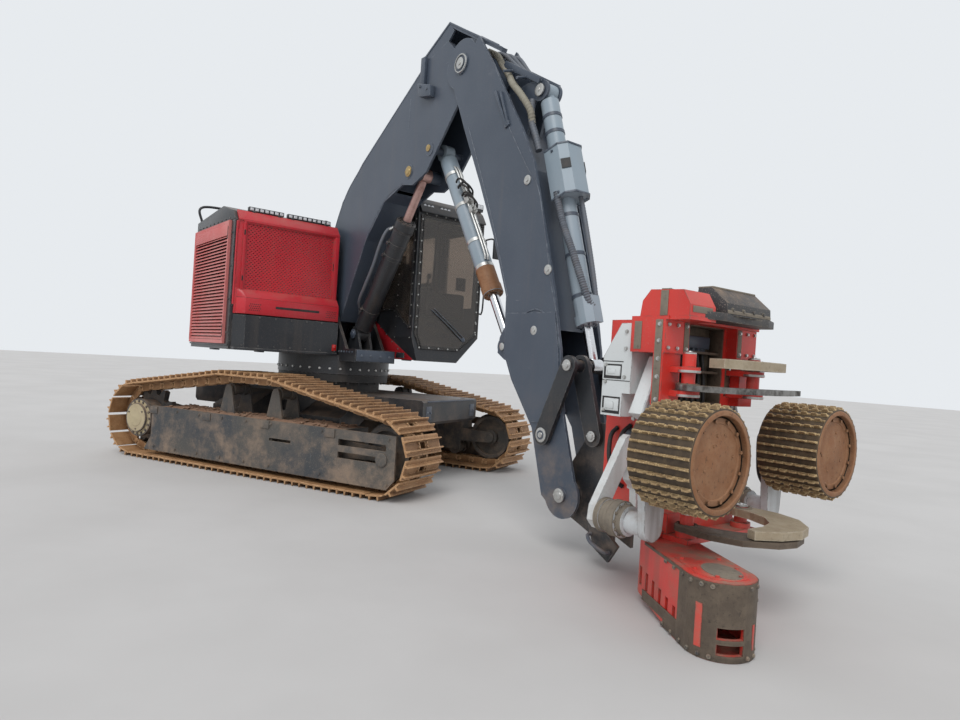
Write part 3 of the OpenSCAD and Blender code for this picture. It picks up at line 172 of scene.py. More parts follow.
def paint(name, colour, second, rough=0.42, chip=STEEL, wear=0.6, dust=0.5, low=0.5, streak=0.25,
          streak_colour=None, speckle=0.25, scratch=0.4, fade=0.0, fade_colour=None):
    """Worn machine paint: two tones, run marks, scratches, chipped edges and dust that has settled."""
    look = Look(name)
    tone = look.between(look.noise(1.3, 3), 0.35, 0.65)
    face = look.mix(tone, colour, second)
    if fade:
        bleached = look.times(look.between(look.noise(0.9, 4, 0.6), 0.35, 0.7), fade)
        face = look.mix(bleached, face, fade_colour)
    runs = look.between(look.noise(7, 5, 0.6, (1, 1, 0.07)), 0.5, 0.78, streak)
    face = look.mix(runs, face, streak_colour or [0.6 * c + 0.4 * d for c, d in zip(colour, DUST)])
    patch = look.between(look.noise(1.7, 2, turn=(1, 2, 3)), 0.45, 0.7)
    fine = look.between(look.noise(11, 3, 0.6, (0.5, 0.5, 9), (0.3, 0.2, 0)), 0.68, 0.74)
    across = look.between(look.noise(9, 3, 0.6, (0.4, 10, 0.6), (0.1, 0.9, 0.4)), 0.69, 0.75)
    scored = look.times(look.times(look.most(fine, across), patch), scratch)
    face = look.mix(scored, face, [min(1, 0.55 * c + 0.25) for c in colour])
    grit = look.between(look.noise(140, 2, 0.5), 0.62, 0.72)
    settled = look.times(look.up_facing(), look.between(look.noise(5, 8, 0.7), 0.32, 0.68, dust))
    near_ground = look.between(look.axis(look.at, 2), 1.5, 0.1)
    splash = look.times(near_ground, look.between(look.noise(3.5, 7, 0.7), 0.4, 0.7, low))
    dirt = look.plus(settled, splash)
    face = look.mix(dirt, face, DUST)
    face = look.mix(look.times(grit, speckle), face, [min(1, c + 0.12) for c in DUST])
    rim = look.times(look.edges(0.012), look.between(look.noise(16, 5, 0.65), 0.42, 0.6, wear))
    face = look.mix(rim, face, chip)
    look.set(Base_Color=face, Metallic=0.0)
    look.set(Roughness=look.plus(rough, look.plus(look.times(dirt, 0.35), look.times(runs, 0.2))))
    look.set(Specular_IOR_Level=0.5)
    look.bump(look.plus(look.times(look.noise(60, 4), 0.5), look.times(rim, -0.5)), 0.0015, 0.35)
    return look.mat


def rusty(name, deep, main, bright, metallic=0.25, rough=0.62, edge=0.02, hollow=0.12, polish=0.8):
    """Bare cast or rolled steel: rust, soil and painted shade darkening the hollows, and rubbed edges."""
    look = Look(name)
    tone = look.between(look.noise(9, 8, 0.7), 0.35, 0.68)
    face = look.mix(tone, main, [0.72 * m + 0.28 * b for m, b in zip(main, bright)])
    face = look.mix(look.between(look.noise(38, 5, 0.7), 0.55, 0.72, 0.6), face, deep)
    # Painted shade: ambient occlusion pulls corners and recesses towards the deep colour, broken up by noise
    # as soil would be.
    soil_and_painted_shade = look.times(look.hollows(hollow), look.between(look.noise(6, 6, 0.7), 0.2, 0.55))
    face = look.mix(look.times(soil_and_painted_shade, 0.85), face, deep)
    rubbed = look.times(look.edges(edge), look.between(look.noise(22, 5, 0.7), 0.34, 0.56, polish))
    face = look.mix(rubbed, face, bright)
    look.set(Base_Color=face)
    look.set(Metallic=look.times(rubbed, metallic))
    look.set(Roughness=look.plus(look.times(rubbed, -0.22), rough))
    look.bump(look.noise(45, 7, 0.72), 0.004, 0.7)
    return look.mat


def metal(name, colour, rough=0.25, dirt=0.3, dirt_colour=RUST, grain=(1, 1, 1), scale=30, metallic=1.0):
    """Bright or stained metal with fine scoring."""
    look = Look(name)
    stain = look.between(look.noise(6, 6, 0.7), 0.42, 0.72, dirt)
    score = look.noise(scale, 6, 0.7, grain)
    face = look.mix(look.between(score, 0.3, 0.7), colour, [0.8 * c for c in colour])
    face = look.mix(stain, face, dirt_colour)
    look.set(Base_Color=face, Metallic=metallic)
    look.set(Roughness=look.plus(rough, look.plus(look.times(stain, 0.5), look.times(score, 0.12))))
    look.bump(score, 0.0006, 0.4)
    return look.mat


def rubber(name, colour=(0.012, 0.012, 0.013), rough=0.55, dust=0.25):
    """Hoses and mouldings, greyed by dust."""
    look = Look(name)
    grey = look.between(look.noise(12, 6, 0.7), 0.4, 0.75, dust)
    face = look.mix(grey, colour, [0.5 * d + 0.05 for d in DUST])
    look.set(Base_Color=face, Roughness=look.plus(rough, look.times(grey, 0.3)))
    look.bump(look.noise(120, 3), 0.0008, 0.4)
    return look.mat


def lens(name, colour):
    """A lamp's ribbed cover."""
    look = Look(name)
    ribs = look.noise(90, 2, 0.5, (1, 1, 0.3))
    face = look.mix(look.between(ribs, 0.4, 0.6), colour, [0.72 * c for c in colour])
    look.set(Base_Color=face, Roughness=0.18, Coat_Weight=0.6)
    look.bump(ribs, 0.001, 0.5)
    return look.mat


def around(count, start=0.0):
    """Angles at even steps round a circle."""
    return [start + i * math.tau / count for i in range(count)]


def arc(radius, from_deg, to_deg, count, centre=0):
    """Points on an arc about (centre, 0)."""
    angles = [math.radians(from_deg + (to_deg - from_deg) * k / count) for k in range(count + 1)]
    return [(centre + radius * math.cos(a), radius * math.sin(a)) for a in angles]


def arc_plan(inner, outer, from_deg, to_deg, count=10, centre=0):
    """Plan of a bent sheet between two radii."""
    return arc(inner, from_deg, to_deg, count, centre) + arc(outer, from_deg, to_deg, count, centre)[::-1]


def spline(points, step):
    """Points at about even steps along a smooth curve through the given ones."""
    p = [Vector(q) for q in points]
    p = [2 * p[0] - p[1]] + p + [2 * p[-1] - p[-2]]
    out = []
    for a, b, c, d in zip(p, p[1:], p[2:], p[3:]):
        count = max(2, int((c - b).length / step))
        for i in range(count):
            t = i / count
            out.append(0.5 * (2 * b + (c - a) * t + (2 * a - 5 * b + 4 * c - d) * t * t
                              + (3 * b - a - 3 * c + d) * t * t * t))
    out.append(p[-2])
    return out


SIDES = (-1, 1)
AHEAD, LEFT, RIGHT, UP = (1, 0, 0), (0, 1, 0), (0, -1, 0), (0, 0, 1)
HERE = Matrix.Identity(4)


class Piece:
    """Shapes in millimetres of one space, gathered into one object that rides on a body."""

    def __init__(self, name, body, material, slot, space=HOUSE):
        self.name, self.body, self.material, self.slot, self.space = name, body, material, slot, space
        self.bm = bmesh.new()

    def take(self, bm, matrix=HERE, outward=False):
        """Add a shape; outward turns its faces out first."""
        if outward:
            bmesh.ops.recalc_face_normals(bm, faces=bm.faces)
        mesh = bpy.data.meshes.new("part")
        bm.to_mesh(mesh)
        bm.free()
        mesh.transform(matrix)
        self.bm.from_mesh(mesh)
        bpy.data.meshes.remove(mesh)

    def solid(self, bottom, top, bevel=0.0, segments=2, matrix=HERE):
        """A closed solid between two outlines of as many points each."""
        bm = bmesh.new()
        low = [bm.verts.new(p) for p in bottom]
        high = [bm.verts.new(p) for p in top]
        bm.faces.new(low[::-1])
        bm.faces.new(high)
        join_rings(bm, [low, high])
        bmesh.ops.recalc_face_normals(bm, faces=bm.faces)
        if bevel:
            bmesh.ops.bevel(bm, geom=bm.edges[:], offset=bevel, segments=segments, affect="EDGES",
                            profile=0.5, clamp_overlap=True)
        self.take(bm, matrix)

    def block(self, a, b, bevel=0.0, matrix=HERE):
        (x0, y0, z0), (x1, y1, z1) = a, b
        self.prism([(x0, y0), (x1, y0), (x1, y1), (x0, y1)], "z", z0, z1, bevel, matrix)

    def prism(self, points, axis, lo, hi, bevel=0.0, matrix=HERE, segments=2):
        """An outline in the plane across an axis: (y, z) for x, (x, z) for y, (x, y) for z."""
        k = "xyz".index(axis)
        ends = [[(*p[:k], h, *p[k:]) for p in points] for h in (lo, hi)]
        self.solid(*ends, bevel, segments, matrix)

    def side_prism(self, points, side, near, far, bevel):
        """An outline in (x, z) between two distances from the middle, on one side."""
        self.prism(points, "y", *sorted((side * near, side * far)), bevel)

    def bar(self, p, q, radius, sides=24):
        p, q = Vector(p), Vector(q)
        bm = bmesh.new()
        bmesh.ops.create_cone(bm, cap_ends=True, segments=sides, radius1=radius, radius2=radius,
                              depth=(q - p).length)
        self.take(bm, pointing((p + q) / 2, q - p))

    def turned(self, p, axis, profile, sides=32, closed=False):
        """A solid of revolution from (distance along the axis, radius); a closed profile makes a ring."""
        bm = bmesh.new()
        rings = [[bm.verts.new((radius * math.cos(a), radius * math.sin(a), along)) for a in around(sides)]
                 for along, radius in profile]
        if closed:
            join_rings(bm, rings + rings[:1])
        else:
            join_rings(bm, rings)
            cap_rings(bm, rings)
        self.take(bm, pointing(p, axis), outward=True)

    def ringed(self, p, axis, profile, sides=48):
        """A closed ring of revolution: its section's corners in order."""
        self.turned(p, axis, profile, sides, closed=True)

    def collar(self, p, axis, inner, outer, height, sides=40):
        """A plain band between two radii."""
        self.ringed(p, axis, [(0, inner), (0, outer), (height, outer), (height, inner)], sides)

    def bolt(self, p, axis, size, height=None, washer=True):
        """A hexagon head, on its washer, standing out from p along the axis."""
        p, axis = Vector(p), Vector(axis).normalized()
        start = p
        if washer:
            start = p + axis * size * 0.18
            self.bar(p, start, size * 1.25, 12)
        self.bar(start, start + axis * (height or size * 0.65), size, 6)

    def bolt_grid(self, xs, ys, zs, axis, size, height=None):
        """Bolts at every combination of the given x, y and z, each one number or several."""
        several = [[c] if isinstance(c, (int, float)) else c for c in (xs, ys, zs)]
        for p in itertools.product(*several):
            self.bolt(p, axis, size, height)

    def bolt_ring(self, centre, axis, radius, angles, size, height=None, washer=True, place=HERE):
        """Bolts on a circle round one of the three axes of a frame."""
        first, second = [k for k in range(3) if not axis[k]]
        for a in angles:
            p = Vector(centre)
            p[first] += radius * math.cos(a)
            p[second] += radius * math.sin(a)
            self.bolt(place @ p, place.to_3x3() @ Vector(axis), size, height, washer)

    def rivet(self, p, axis, size):
        """A low domed head."""
        dome = [(-0.3 * size, size), (0, size), (size * 0.35, size * 0.8), (size * 0.55, size * 0.35)]
        self.turned(p, axis, dome, 8)

    def hose(self, points, radius, sides=10, rib=0.0, pitch=0.0, coil=False, step=None):
        """A smooth tube; rib and pitch raise rings on it, or one winding where coil is set."""
        path = spline(points, step or (pitch / 4 if pitch else radius * 1.2))
        bm = bmesh.new()
        rings, run = [], 0.0
        normal = None
        for i, p in enumerate(path):
            tangent = (path[min(i + 1, len(path) - 1)] - path[max(i - 1, 0)]).normalized()
            if normal is None:
                normal = tangent.orthogonal().normalized()
            normal = (normal - tangent * normal.dot(tangent)).normalized()
            side = tangent.cross(normal)
            if i:
                run += (p - path[i - 1]).length
            ring = []
            for angle in around(sides):
                r = radius
                if pitch:
                    phase = run / pitch * math.tau - (angle if coil else 0)
                    r += rib * (0.5 + 0.5 * math.cos(phase))
                ring.append(bm.verts.new(p + (normal * math.cos(angle) + side * math.sin(angle)) * r))
            rings.append(ring)
        join_rings(bm, rings)
        cap_rings(bm, rings)
        self.take(bm, outward=True)

    def done(self, smooth=35, *replaced):
        mesh = bpy.data.meshes.new(self.name)
        self.bm.to_mesh(mesh)
        self.bm.free()
        mesh.transform(self.space)
        mesh.materials.append(self.material)
        obj = bpy.data.objects.new(self.name, mesh)
        bpy.context.scene.collection.objects.link(obj)
        mesh.shade_smooth()
        mesh.set_sharp_from_angle(angle=math.radians(smooth))
        if self.body:
            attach(obj, self.body)
        if replaced:
            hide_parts(*replaced)
        return obj


def join_rings(bm, rings):
    """Faces between each ring of vertices and the next."""
    for a, b in zip(rings, rings[1:]):
        for i in range(len(a)):
            j = (i + 1) % len(a)
            bm.faces.new((a[i], a[j], b[j], b[i]))


def cap_rings(bm, rings):
    bm.faces.new(rings[0][::-1])
    bm.faces.new(rings[-1])


def pointing(p, axis):
    """Frame at p with z along the axis."""
    return Matrix.Translation(Vector(p)) @ Vector(axis).to_track_quat("Z", "Y").to_matrix().to_4x4()


def placed(matrix, points):
    return [matrix @ Vector(p) for p in points]


def fitted(hose_piece, fitting_piece, points, radius, **words):
    """A hose with a crimped sleeve and a nut at each end."""
    hose_piece.hose(points, radius, **words)
    for a, b in ((points[0], points[1]), (points[-1], points[-2])):
        a, b = Vector(a), Vector(b)
        way = (b - a).normalized()
        nut = a + way * radius * 1.1
        fitting_piece.bar(a - way * radius * 0.5, nut, radius * 1.35, 6)
        fitting_piece.bar(nut, a + way * radius * 3.6, radius * 1.22, 14)


def line_frame(a, b):
    """Frame of a cylinder from a to b, both (x, z): z along it, y to the left, x square to both."""
    d = Vector((b[0] - a[0], 0, b[1] - a[1])).normalized()
    return Matrix(((d.z, 0, d.x, a[0]), (0, 1, 0, 0), (-d.x, 0, d.z, a[1]), (0, 0, 0, 1)))


def pin_cap(piece, p, y, radius, out):
    """A pin's keeper plate with its bolts, on a side face at y."""
    plate = [(-4, radius), (7, radius), (9, radius - 3), (9, radius * 0.62), (16, radius * 0.55),
             (18, radius * 0.3)]
    piece.turned((p[0], y, p[1]), (0, out, 0), plate, 28)
    for s in SIDES:
        piece.bolt((p[0] + s * radius * 0.78, y + out * 8, p[1]), (0, out, 0), radius * 0.12 + 3,
                   washer=False)


black = paint("black_paint", (0.020, 0.022, 0.026), (0.028, 0.031, 0.036), 0.36, wear=0.55, dust=0.45,
              speckle=0.2)
steel = paint("dark_steel", (0.056, 0.073, 0.102), (0.068, 0.086, 0.116), 0.38, (0.30, 0.33, 0.37), 0.55,
              0.22, 0.6, streak=0.22, speckle=0.12)
muddy = paint("muddy_steel", (0.045, 0.052, 0.060), (0.085, 0.080, 0.072), 0.62, (0.22, 0.17, 0.12), 0.6,
              0.85, 0.9, streak=0.45, speckle=0.5)
red = paint("red_paint", (0.60, 0.022, 0.034), (0.52, 0.020, 0.032), 0.34, (0.16, 0.10, 0.08), 0.75, 0.4,
            0.35, streak=0.18)
faded_red = paint("faded_red_paint", (0.60, 0.095, 0.090), (0.68, 0.18, 0.17), 0.5, (0.30, 0.10, 0.08), 0.5,
                  0.3, 0.2, streak=0.3, fade=0.75, fade_colour=(0.60, 0.24, 0.22))
# Painted highlight: the head's red is paler and dustier than the house's partly to stand for sunlit sheen on
# its paint; the rest is its own dust.
head_red = paint("head_red_paint", (0.72, 0.050, 0.036), (0.58, 0.030, 0.022), 0.36, (0.13, 0.09, 0.07),
                 0.95, 0.75, 0.55, streak=0.4, streak_colour=(0.20, 0.13, 0.10), speckle=0.35, scratch=0.7)
white = paint("white_paint", (0.74, 0.765, 0.76), (0.66, 0.69, 0.69), 0.42, (0.07, 0.06, 0.055), 0.7, 0.35,
              0.5, streak=0.35, streak_colour=(0.36, 0.33, 0.30))
tube_grey = paint("tube_grey_paint", (0.27, 0.335, 0.385), (0.31, 0.37, 0.42), 0.36, (0.07, 0.075, 0.08),
                  0.5, 0.2, 0.4, streak=0.25, speckle=0.12)
ring_black = paint("ring_black_paint", (0.010, 0.010, 0.011), (0.014, 0.014, 0.015), 0.5, wear=0.4,
                   dust=0.15, speckle=0.1)
gritty = paint("gritty_steel", (0.045, 0.045, 0.048), (0.075, 0.072, 0.068), 0.6, (0.30, 0.26, 0.20), 0.9,
               1.0, 1.2, streak=0.5, speckle=0.8)
chipped_white = paint("chipped_white_paint", (0.62, 0.64, 0.65), (0.50, 0.51, 0.51), 0.5, (0.06, 0.05, 0.045),
                      1.0, 0.5, 0.8, streak=0.6, streak_colour=(0.20, 0.17, 0.15), speckle=0.4,
                      scratch=1.0)
track = rusty("track_steel", (0.060, 0.028, 0.014), (0.36, 0.185, 0.080), (0.78, 0.50, 0.27))
stud = rusty("stud_steel", (0.026, 0.016, 0.010), (0.24, 0.150, 0.070), (0.86, 0.64, 0.34), edge=0.008,
             hollow=0.05)
disc = rusty("rust_disc", (0.026, 0.015, 0.009), (0.26, 0.112, 0.046), (0.44, 0.27, 0.15), edge=0.01,
             hollow=0.12, polish=0.3)
drum_dark = rusty("drum_shell_steel", (0.012, 0.009, 0.007), (0.055, 0.036, 0.021), (0.22, 0.15, 0.08),
                  edge=0.006, hollow=0.05)
burnt = rusty("burnt_steel", (0.024, 0.019, 0.015), (0.095, 0.070, 0.050), (0.26, 0.20, 0.14), edge=0.02,
              hollow=0.06, polish=0.3)
grit = rusty("grit_strip", (0.075, 0.064, 0.054), (0.20, 0.170, 0.135), (0.40, 0.34, 0.25), edge=0.01,
             hollow=0.04, polish=0.3, metallic=0, rough=0.85)
burnt_knife = metal("burnt_knife_steel", (0.30, 0.29, 0.275), 0.36, 0.9, (0.035, 0.030, 0.026), (1, 9, 1), 20)
tan = rusty("tan_steel", (0.10, 0.075, 0.05), (0.34, 0.27, 0.18), (0.62, 0.55, 0.42), edge=0.015, hollow=0.06)
knife = metal("knife_steel", (0.56, 0.55, 0.52), 0.28, 0.6, (0.14, 0.11, 0.085), (1, 9, 1), 24)
chrome = metal("rod_chrome", (0.80, 0.81, 0.83), 0.10, 0.12, (0.4, 0.36, 0.33), (1, 1, 14), 20)
stained_chrome = metal("stained_rod", (0.62, 0.40, 0.36), 0.30, 0.75, (0.36, 0.20, 0.17), (3, 3, 9), 24, 0.75)
zinc = metal("zinc", (0.62, 0.62, 0.60), 0.35, 0.25, (0.25, 0.2, 0.16))
brass = metal("gold_zinc", (0.58, 0.43, 0.20), 0.38, 0.4, (0.20, 0.13, 0.08))
engine_metal = rusty("engine_metal", (0.05, 0.05, 0.05), (0.20, 0.20, 0.21), (0.4, 0.4, 0.4))
hose_black = rubber("hose_black")
wrap_grey = rubber("wrap_grey", (0.12, 0.135, 0.16), 0.5, 0.3)
wrap_tan = rubber("wrap_tan", (0.30, 0.28, 0.22), 0.6, 0.6)
soil_and_painted_shade = rusty("soil_and_painted_shade", (0.09, 0.05, 0.03), (0.24, 0.14, 0.09), (0.36, 0.25, 0.17), metallic=0, rough=0.9,
             polish=0.3)
cream = paint("cream_paint", (0.50, 0.42, 0.26), (0.42, 0.34, 0.20), 0.55, (0.16, 0.09, 0.05), 0.9, 0.6,
              0.5, streak=0.4)
clear_lens = lens("clear_lens", (0.80, 0.82, 0.84))
red_lens = lens("red_lens", (0.60, 0.015, 0.012))


def smoked(name, colour, rough=0.06):
    """Scratched, smoked polycarbonate that the inside shows through."""
    look = Look(name)
    haze = look.between(look.noise(5, 7, 0.7), 0.42, 0.8)
    look.set(Base_Color=(*colour, 1), IOR=1.5, Transmission_Weight=0.93)
    look.set(Roughness=look.plus(look.times(haze, 0.16), rough))
    look.bump(look.noise(3, 2), 0.001, 0.15)
    return look.mat


def cloth(name, colour, second):
    """Woven seat fabric."""
    look = Look(name)
    warp = look.math("SINE", look.times(look.axis(look.at, 1), 1600))
    weft = look.math("SINE", look.times(look.axis(look.at, 2), 1600))
    weave = look.times(look.plus(look.times(warp, 0.5), 0.5), look.plus(look.times(weft, 0.5), 0.5))
    face = look.mix(look.between(look.noise(14, 5), 0.35, 0.7), colour, second)
    look.set(Base_Color=face, Roughness=0.85, Sheen_Weight=0.25)
    look.bump(weave, 0.0008, 0.6)
    return look.mat


window = smoked("window", (0.42, 0.36, 0.31))
seat_cloth = cloth("seat_cloth", (0.030, 0.031, 0.034), (0.055, 0.055, 0.058))

NODE_LOOKS = {
    ring_black: ("swing_bearing",),
    black: ("car_body", "swing_frame", "counterweight", "engine_hood", "cooler_housing", "side_tank",
            "cab_shell", "cab_door", "boom_barrel", "idler_links", "tilt_links", "head_bracket"),
    steel: ("boom", "elbow_guard", "stick"),
    tube_grey: ("stick_barrel", "tilt_barrel"),
    muddy: ("track_frame_right", "track_frame_left", "idlers", "final_drives"),
    track: ("track_right", "track_left"),
    stud: ("feed_drum_right", "feed_drum_left"),
    red: ("grille_door", "cab_riser"),
    faded_red: ("louvre_door",),
    head_red: ("head_frame", "saw_box"),
    white: ("head_cover",),
    chipped_white: ("roller_arm_right", "roller_arm_left"),
    tan: ("upper_knife_left", "lower_knife_left"),
    burnt: ("lower_knife_right",),
    burnt_knife: ("upper_knife_right",),
    knife: ("saw_bar",),
    chrome: ("stick_rod", "tilt_rod"),
    stained_chrome: ("boom_rod",),
    engine_metal: ("engine_block",),
    window: ("cab_windows", "cab_door_window"),
    seat_cloth: ("seat",),
}
for look, names in NODE_LOOKS.items():
    for name in names:
        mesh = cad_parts[name].data
        if not mesh.materials:
            mesh.materials.append(look)
        for i in range(len(mesh.materials)):
            mesh.materials[i] = look


# Tracks: separate shoes, links and pins round the loop of the source
LOOP = [(-1980, 510, 400), (1930, 465, 355), (330, 1000, 130), (-450, 1000, 130)]
TRACK_Y = 1300


def loop_stretches():
    """Length, start or centre, radius (0 on a straight run) and the normal's angle of each stretch."""
    def toward(c, d):
        dx, dz = d[0] - c[0], d[1] - c[1]
        return math.atan2(dz, dx) - math.acos((c[2] - d[2]) / math.hypot(dx, dz))
    following = LOOP[1:] + LOOP[:1]
    normals = [toward(c, d) for c, d in zip(LOOP, following)]
    out = []
    for i, (c, d) in enumerate(zip(LOOP, following)):
        a = normals[i]
        p = (c[0] + c[2] * math.cos(a), c[1] + c[2] * math.sin(a))
        q = (d[0] + d[2] * math.cos(a), d[1] + d[2] * math.sin(a))
        turn = (normals[(i + 1) % len(LOOP)] - a) % math.tau
        out.append((math.hypot(q[0] - p[0], q[1] - p[1]), p, 0, a))
        out.append((d[2] * turn, (d[0], d[1]), d[2], a))
    return out


def on_loop(run):
    """Place and normal's angle at a distance along the loop."""
    parts = loop_stretches()
    run %= sum(part[0] for part in parts)
    for length, p, radius, a in parts:
        if run <= length:
            break
        run -= length
    if radius == 0:
        return (p[0] + run * math.cos(a + math.pi / 2), p[1] + run * math.sin(a + math.pi / 2), a)
    a += run / radius
    return (p[0] + radius * math.cos(a), p[1] + radius * math.sin(a), a)


SHOES = 48
PITCH = sum(part[0] for part in loop_stretches()) / SHOES
half = PITCH / 2
BAR = [(-66, 66), (-60, 108), (-57, 110), (-49, 110), (-46, 108), (-40, 66)]
BAR_BACK = [(-x, z) for x, z in reversed(BAR)]
REAR_LIP = [(-half + 5, 46), (-half + 3, 66)]
FRONT_LIP = [(half - 8, 66), (half + 6, 60), (half + 8, 50), (half - 6, 46)]
OUTER_SHOE = REAR_LIP + BAR + BAR_BACK + FRONT_LIP
REAR_STRIP = REAR_LIP + BAR + [(-36, 66), (-36, 46)]
FRONT_STRIP = [(36, 46), (36, 66)] + BAR_BACK + FRONT_LIP
LINK = [(-half + 26, -34), (-half + 44, -46), (half - 40, -46), (half - 14, -30), (half - 14, 34),
        (half - 30, 47), (-half + 30, 47), (-half + 14, 30)]
LINK_Y = 85
LINK_BOSS = [(0, 38), (3, 42), (19, 42), (22, 38)]


def track_piece(side, name):
    piece = Piece(f"track_{name}_shoes", "undercarriage", track, "track_steel", CARRIER)
    for k in range(SHOES):
        x, z, a = on_loop((k + 0.5) * PITCH)
        lean = math.radians(dice.uniform(-0.5, 0.5))
        ahead = a + math.pi / 2
        place = Matrix(((math.cos(ahead), 0, math.cos(a), x), (0, 1, 0, side * TRACK_Y),
                        (math.sin(ahead), 0, math.sin(a), z), (0, 0, 0, 1))) @ Matrix.Rotation(lean, 4, "X")
        out = place.to_3x3() @ Vector(UP)
        for y_from, y_to in ((-360, -48), (48, 360)):
            piece.prism(OUTER_SHOE, "y", y_from, y_to, 2.5, place, 1)
        for strip in (REAR_STRIP, FRONT_STRIP):
            piece.prism(strip, "y", -48, 48, 0, place)
        for s in SIDES:
            piece.prism(LINK, "y", s * LINK_Y - 18, s * LINK_Y + 18, 3, place, 1)
            for end, off in ((-half, 8), (half, -8)):
                piece.turned(place @ Vector((end, s * (LINK_Y + off) - 11, 0)), LEFT, LINK_BOSS, 14)
            for t in SIDES:
                piece.bolt(place @ Vector((t * 22, s * LINK_Y, 66)), out, 15, 12, washer=False)
        piece.bar(place @ Vector((-half, -116, 0)), place @ Vector((-half, 116, 0)), 21, 12)
    piece.done(35, "track_" + name)


track_piece(-1, "right")
track_piece(1, "left")


def clods(piece, along_x, along_y, z, heap, lumps, spread=26):
    """Soil that has settled: a rough strip with lumps on it."""
    (x0, x1), (y0, y1) = along_x, along_y
    nx, ny = max(2, int((x1 - x0) / 45)), max(3, int((y1 - y0) / 28))
    bm = bmesh.new()
    rows = []
    for i in range(nx + 1):
        row = []
        for j in range(ny + 1):
            edge = min(j, ny - j) / (ny / 2) * min(1, min(i, nx - i) / 3)
            across = x0 + (x1 - x0) * i / nx + dice.uniform(-9, 9)
            along_row = y0 + (y1 - y0) * j / ny + dice.uniform(-6, 6)
            row.append(bm.verts.new((across, along_row, z + heap * edge * dice.uniform(0.35, 1.0))))
        rows.append(row)
    for i in range(nx):
        for j in range(ny):
            bm.faces.new((rows[i][j], rows[i + 1][j], rows[i + 1][j + 1], rows[i][j + 1]))
    piece.take(bm)
    for _ in range(lumps):
        size = dice.uniform(0.35, 1.0) * spread
        p = Vector((dice.uniform(x0 + spread, x1 - spread), dice.uniform(y0 + spread / 2, y1 - spread / 2),
                    z + heap * 0.55))
        bm = bmesh.new()
        bmesh.ops.create_icosphere(bm, subdivisions=2, radius=size)
        for v in bm.verts:
            v.co *= dice.uniform(0.75, 1.15)
        turn = Matrix.Rotation(dice.uniform(0, 6), 4, "Z") @ Matrix.Diagonal((1.4, 1.0, 0.6, 1))
        piece.take(bm, Matrix.Translation(p) @ turn)


# Track frames: soil on the shelf, bolts, and the covers of the final drives
SHELF_Z = 698
HUB_COVER = [(0, 232), (6, 238), (44, 238), (52, 230), (53, 196), (62, 190), (84, 188), (92, 180),
             (94, 120), (99, 112), (99, 40), (101, 34)]
for side, name in ((-1, "right"), (1, "left")):
    y0 = side * TRACK_Y
    outward = (0, side, 0)
    earth = Piece("soil_" + name, "undercarriage", soil_and_painted_shade, "dark_steel", CARRIER)
    clods(earth, (-1480, 1440), sorted((y0 + 165 * side, y0 + 298 * side)), SHELF_Z, 34, 60)
    for x_from, x_to, lumps in ((-1480, -560, 24), (-330, 220, 16), (450, 1440, 24)):
        clods(earth, (x_from, x_to), (y0 - 120, y0 + 120), SHELF_Z, 40, lumps)
    earth.done(60)

    bolts = Piece("frame_bolts_" + name, "undercarriage", muddy, "dark_steel", CARRIER)
    face = y0 + side * 300
    bolts.bolt_grid((-1580, -1180, -780, -380, 20, 420, 1180, 2090), face, (175, 655), outward, 15)
    for x in (-1610, -640, 330, 1300):
        bolts.block((x - 70, min(face, face + side * 14), 600), (x + 70, max(face, face + side * 14), 690), 4)
    # Tow hole's ring near the idler
    bolts.turned((2010, face - side * 4, 430), outward, [(0, 74), (18, 74), (22, 68), (22, 44)], 28)
    bolts.done(35)

    x, y, z = -1980, y0 + side * 200, 510
    hub = Piece("hub_cover_" + name, "undercarriage", cream, "dark_steel", CARRIER)
    hub.turned((x, y, z), outward, HUB_COVER, 48)
    hub.done(30)
    ring = Piece("hub_bolts_" + name, "undercarriage", muddy, "dark_steel", CARRIER)
    ring.bolt_ring((x, y + side * 52, z), outward, 213, around(16), 13)
    ring.bolt_ring((x, y + side * 93, z), outward, 150, around(3, 0.6), 12, washer=False)
    ring.done(30)

# Bolt heads round the swing ring
ring_bolts = Piece("swing_ring_bolts", "house", zinc, "black_paint")
for a in around(36):
    ring_bolts.bolt((757 * math.cos(a), 757 * math.sin(a), 1330), (math.cos(a), math.sin(a), 0), 15, 11)
ring_bolts.done(30)

scrapes = Piece("car_body_edges", "undercarriage", steel, "black_paint", CARRIER)
for s in SIDES:
    scrapes.block((s * 1935 - 8, -600, 1008), (s * 1935 + 8, 600, 1026), 5)
    for y in (-560, 560):
        scrapes.block((s * 1926 - 12, y - 60, 800), (s * 1926 + 12, y + 60, 960), 6)
        scrapes.bolt_grid(s * 1938, (y - 30, y + 30), 880, (s, 0, 0), 14)
scrapes.done(35)


# Feed drums: rows of studs on a shell, and a rusty disc held by a ring of bolts
DRUM_X0, DRUM_X1, DRUM_Z, DRUM_Y, DRUM_R = 6120, 6560, 1050, 730, 338
ROWS = 34
DRUM_SHELL_R = DRUM_R - 24
# Sections of the shell and of the disc's rim: (distance along the axis, radius less the shell's)
SHELL = [(70, -62), (4, -60), (0, -50), (0, -4), (4, 0), (434, 0), (436, -5), (436, -30), (370, -40)]
DISC_RIM = [(2, -14), (0, -18), (0, -38), (4, -42), (34, -46), (34, -20), (4, -10)]
DISC = [(0, 262), (24, 262), (30, 256), (31, 226), (24, 220), (25, 90), (28, 84), (29, 20)]


def rectangle(x0, x1, y_from, y_to, z):
    return [(x0, y_from, z), (x1, y_from, z), (x1, y_to, z), (x0, y_to, z)]


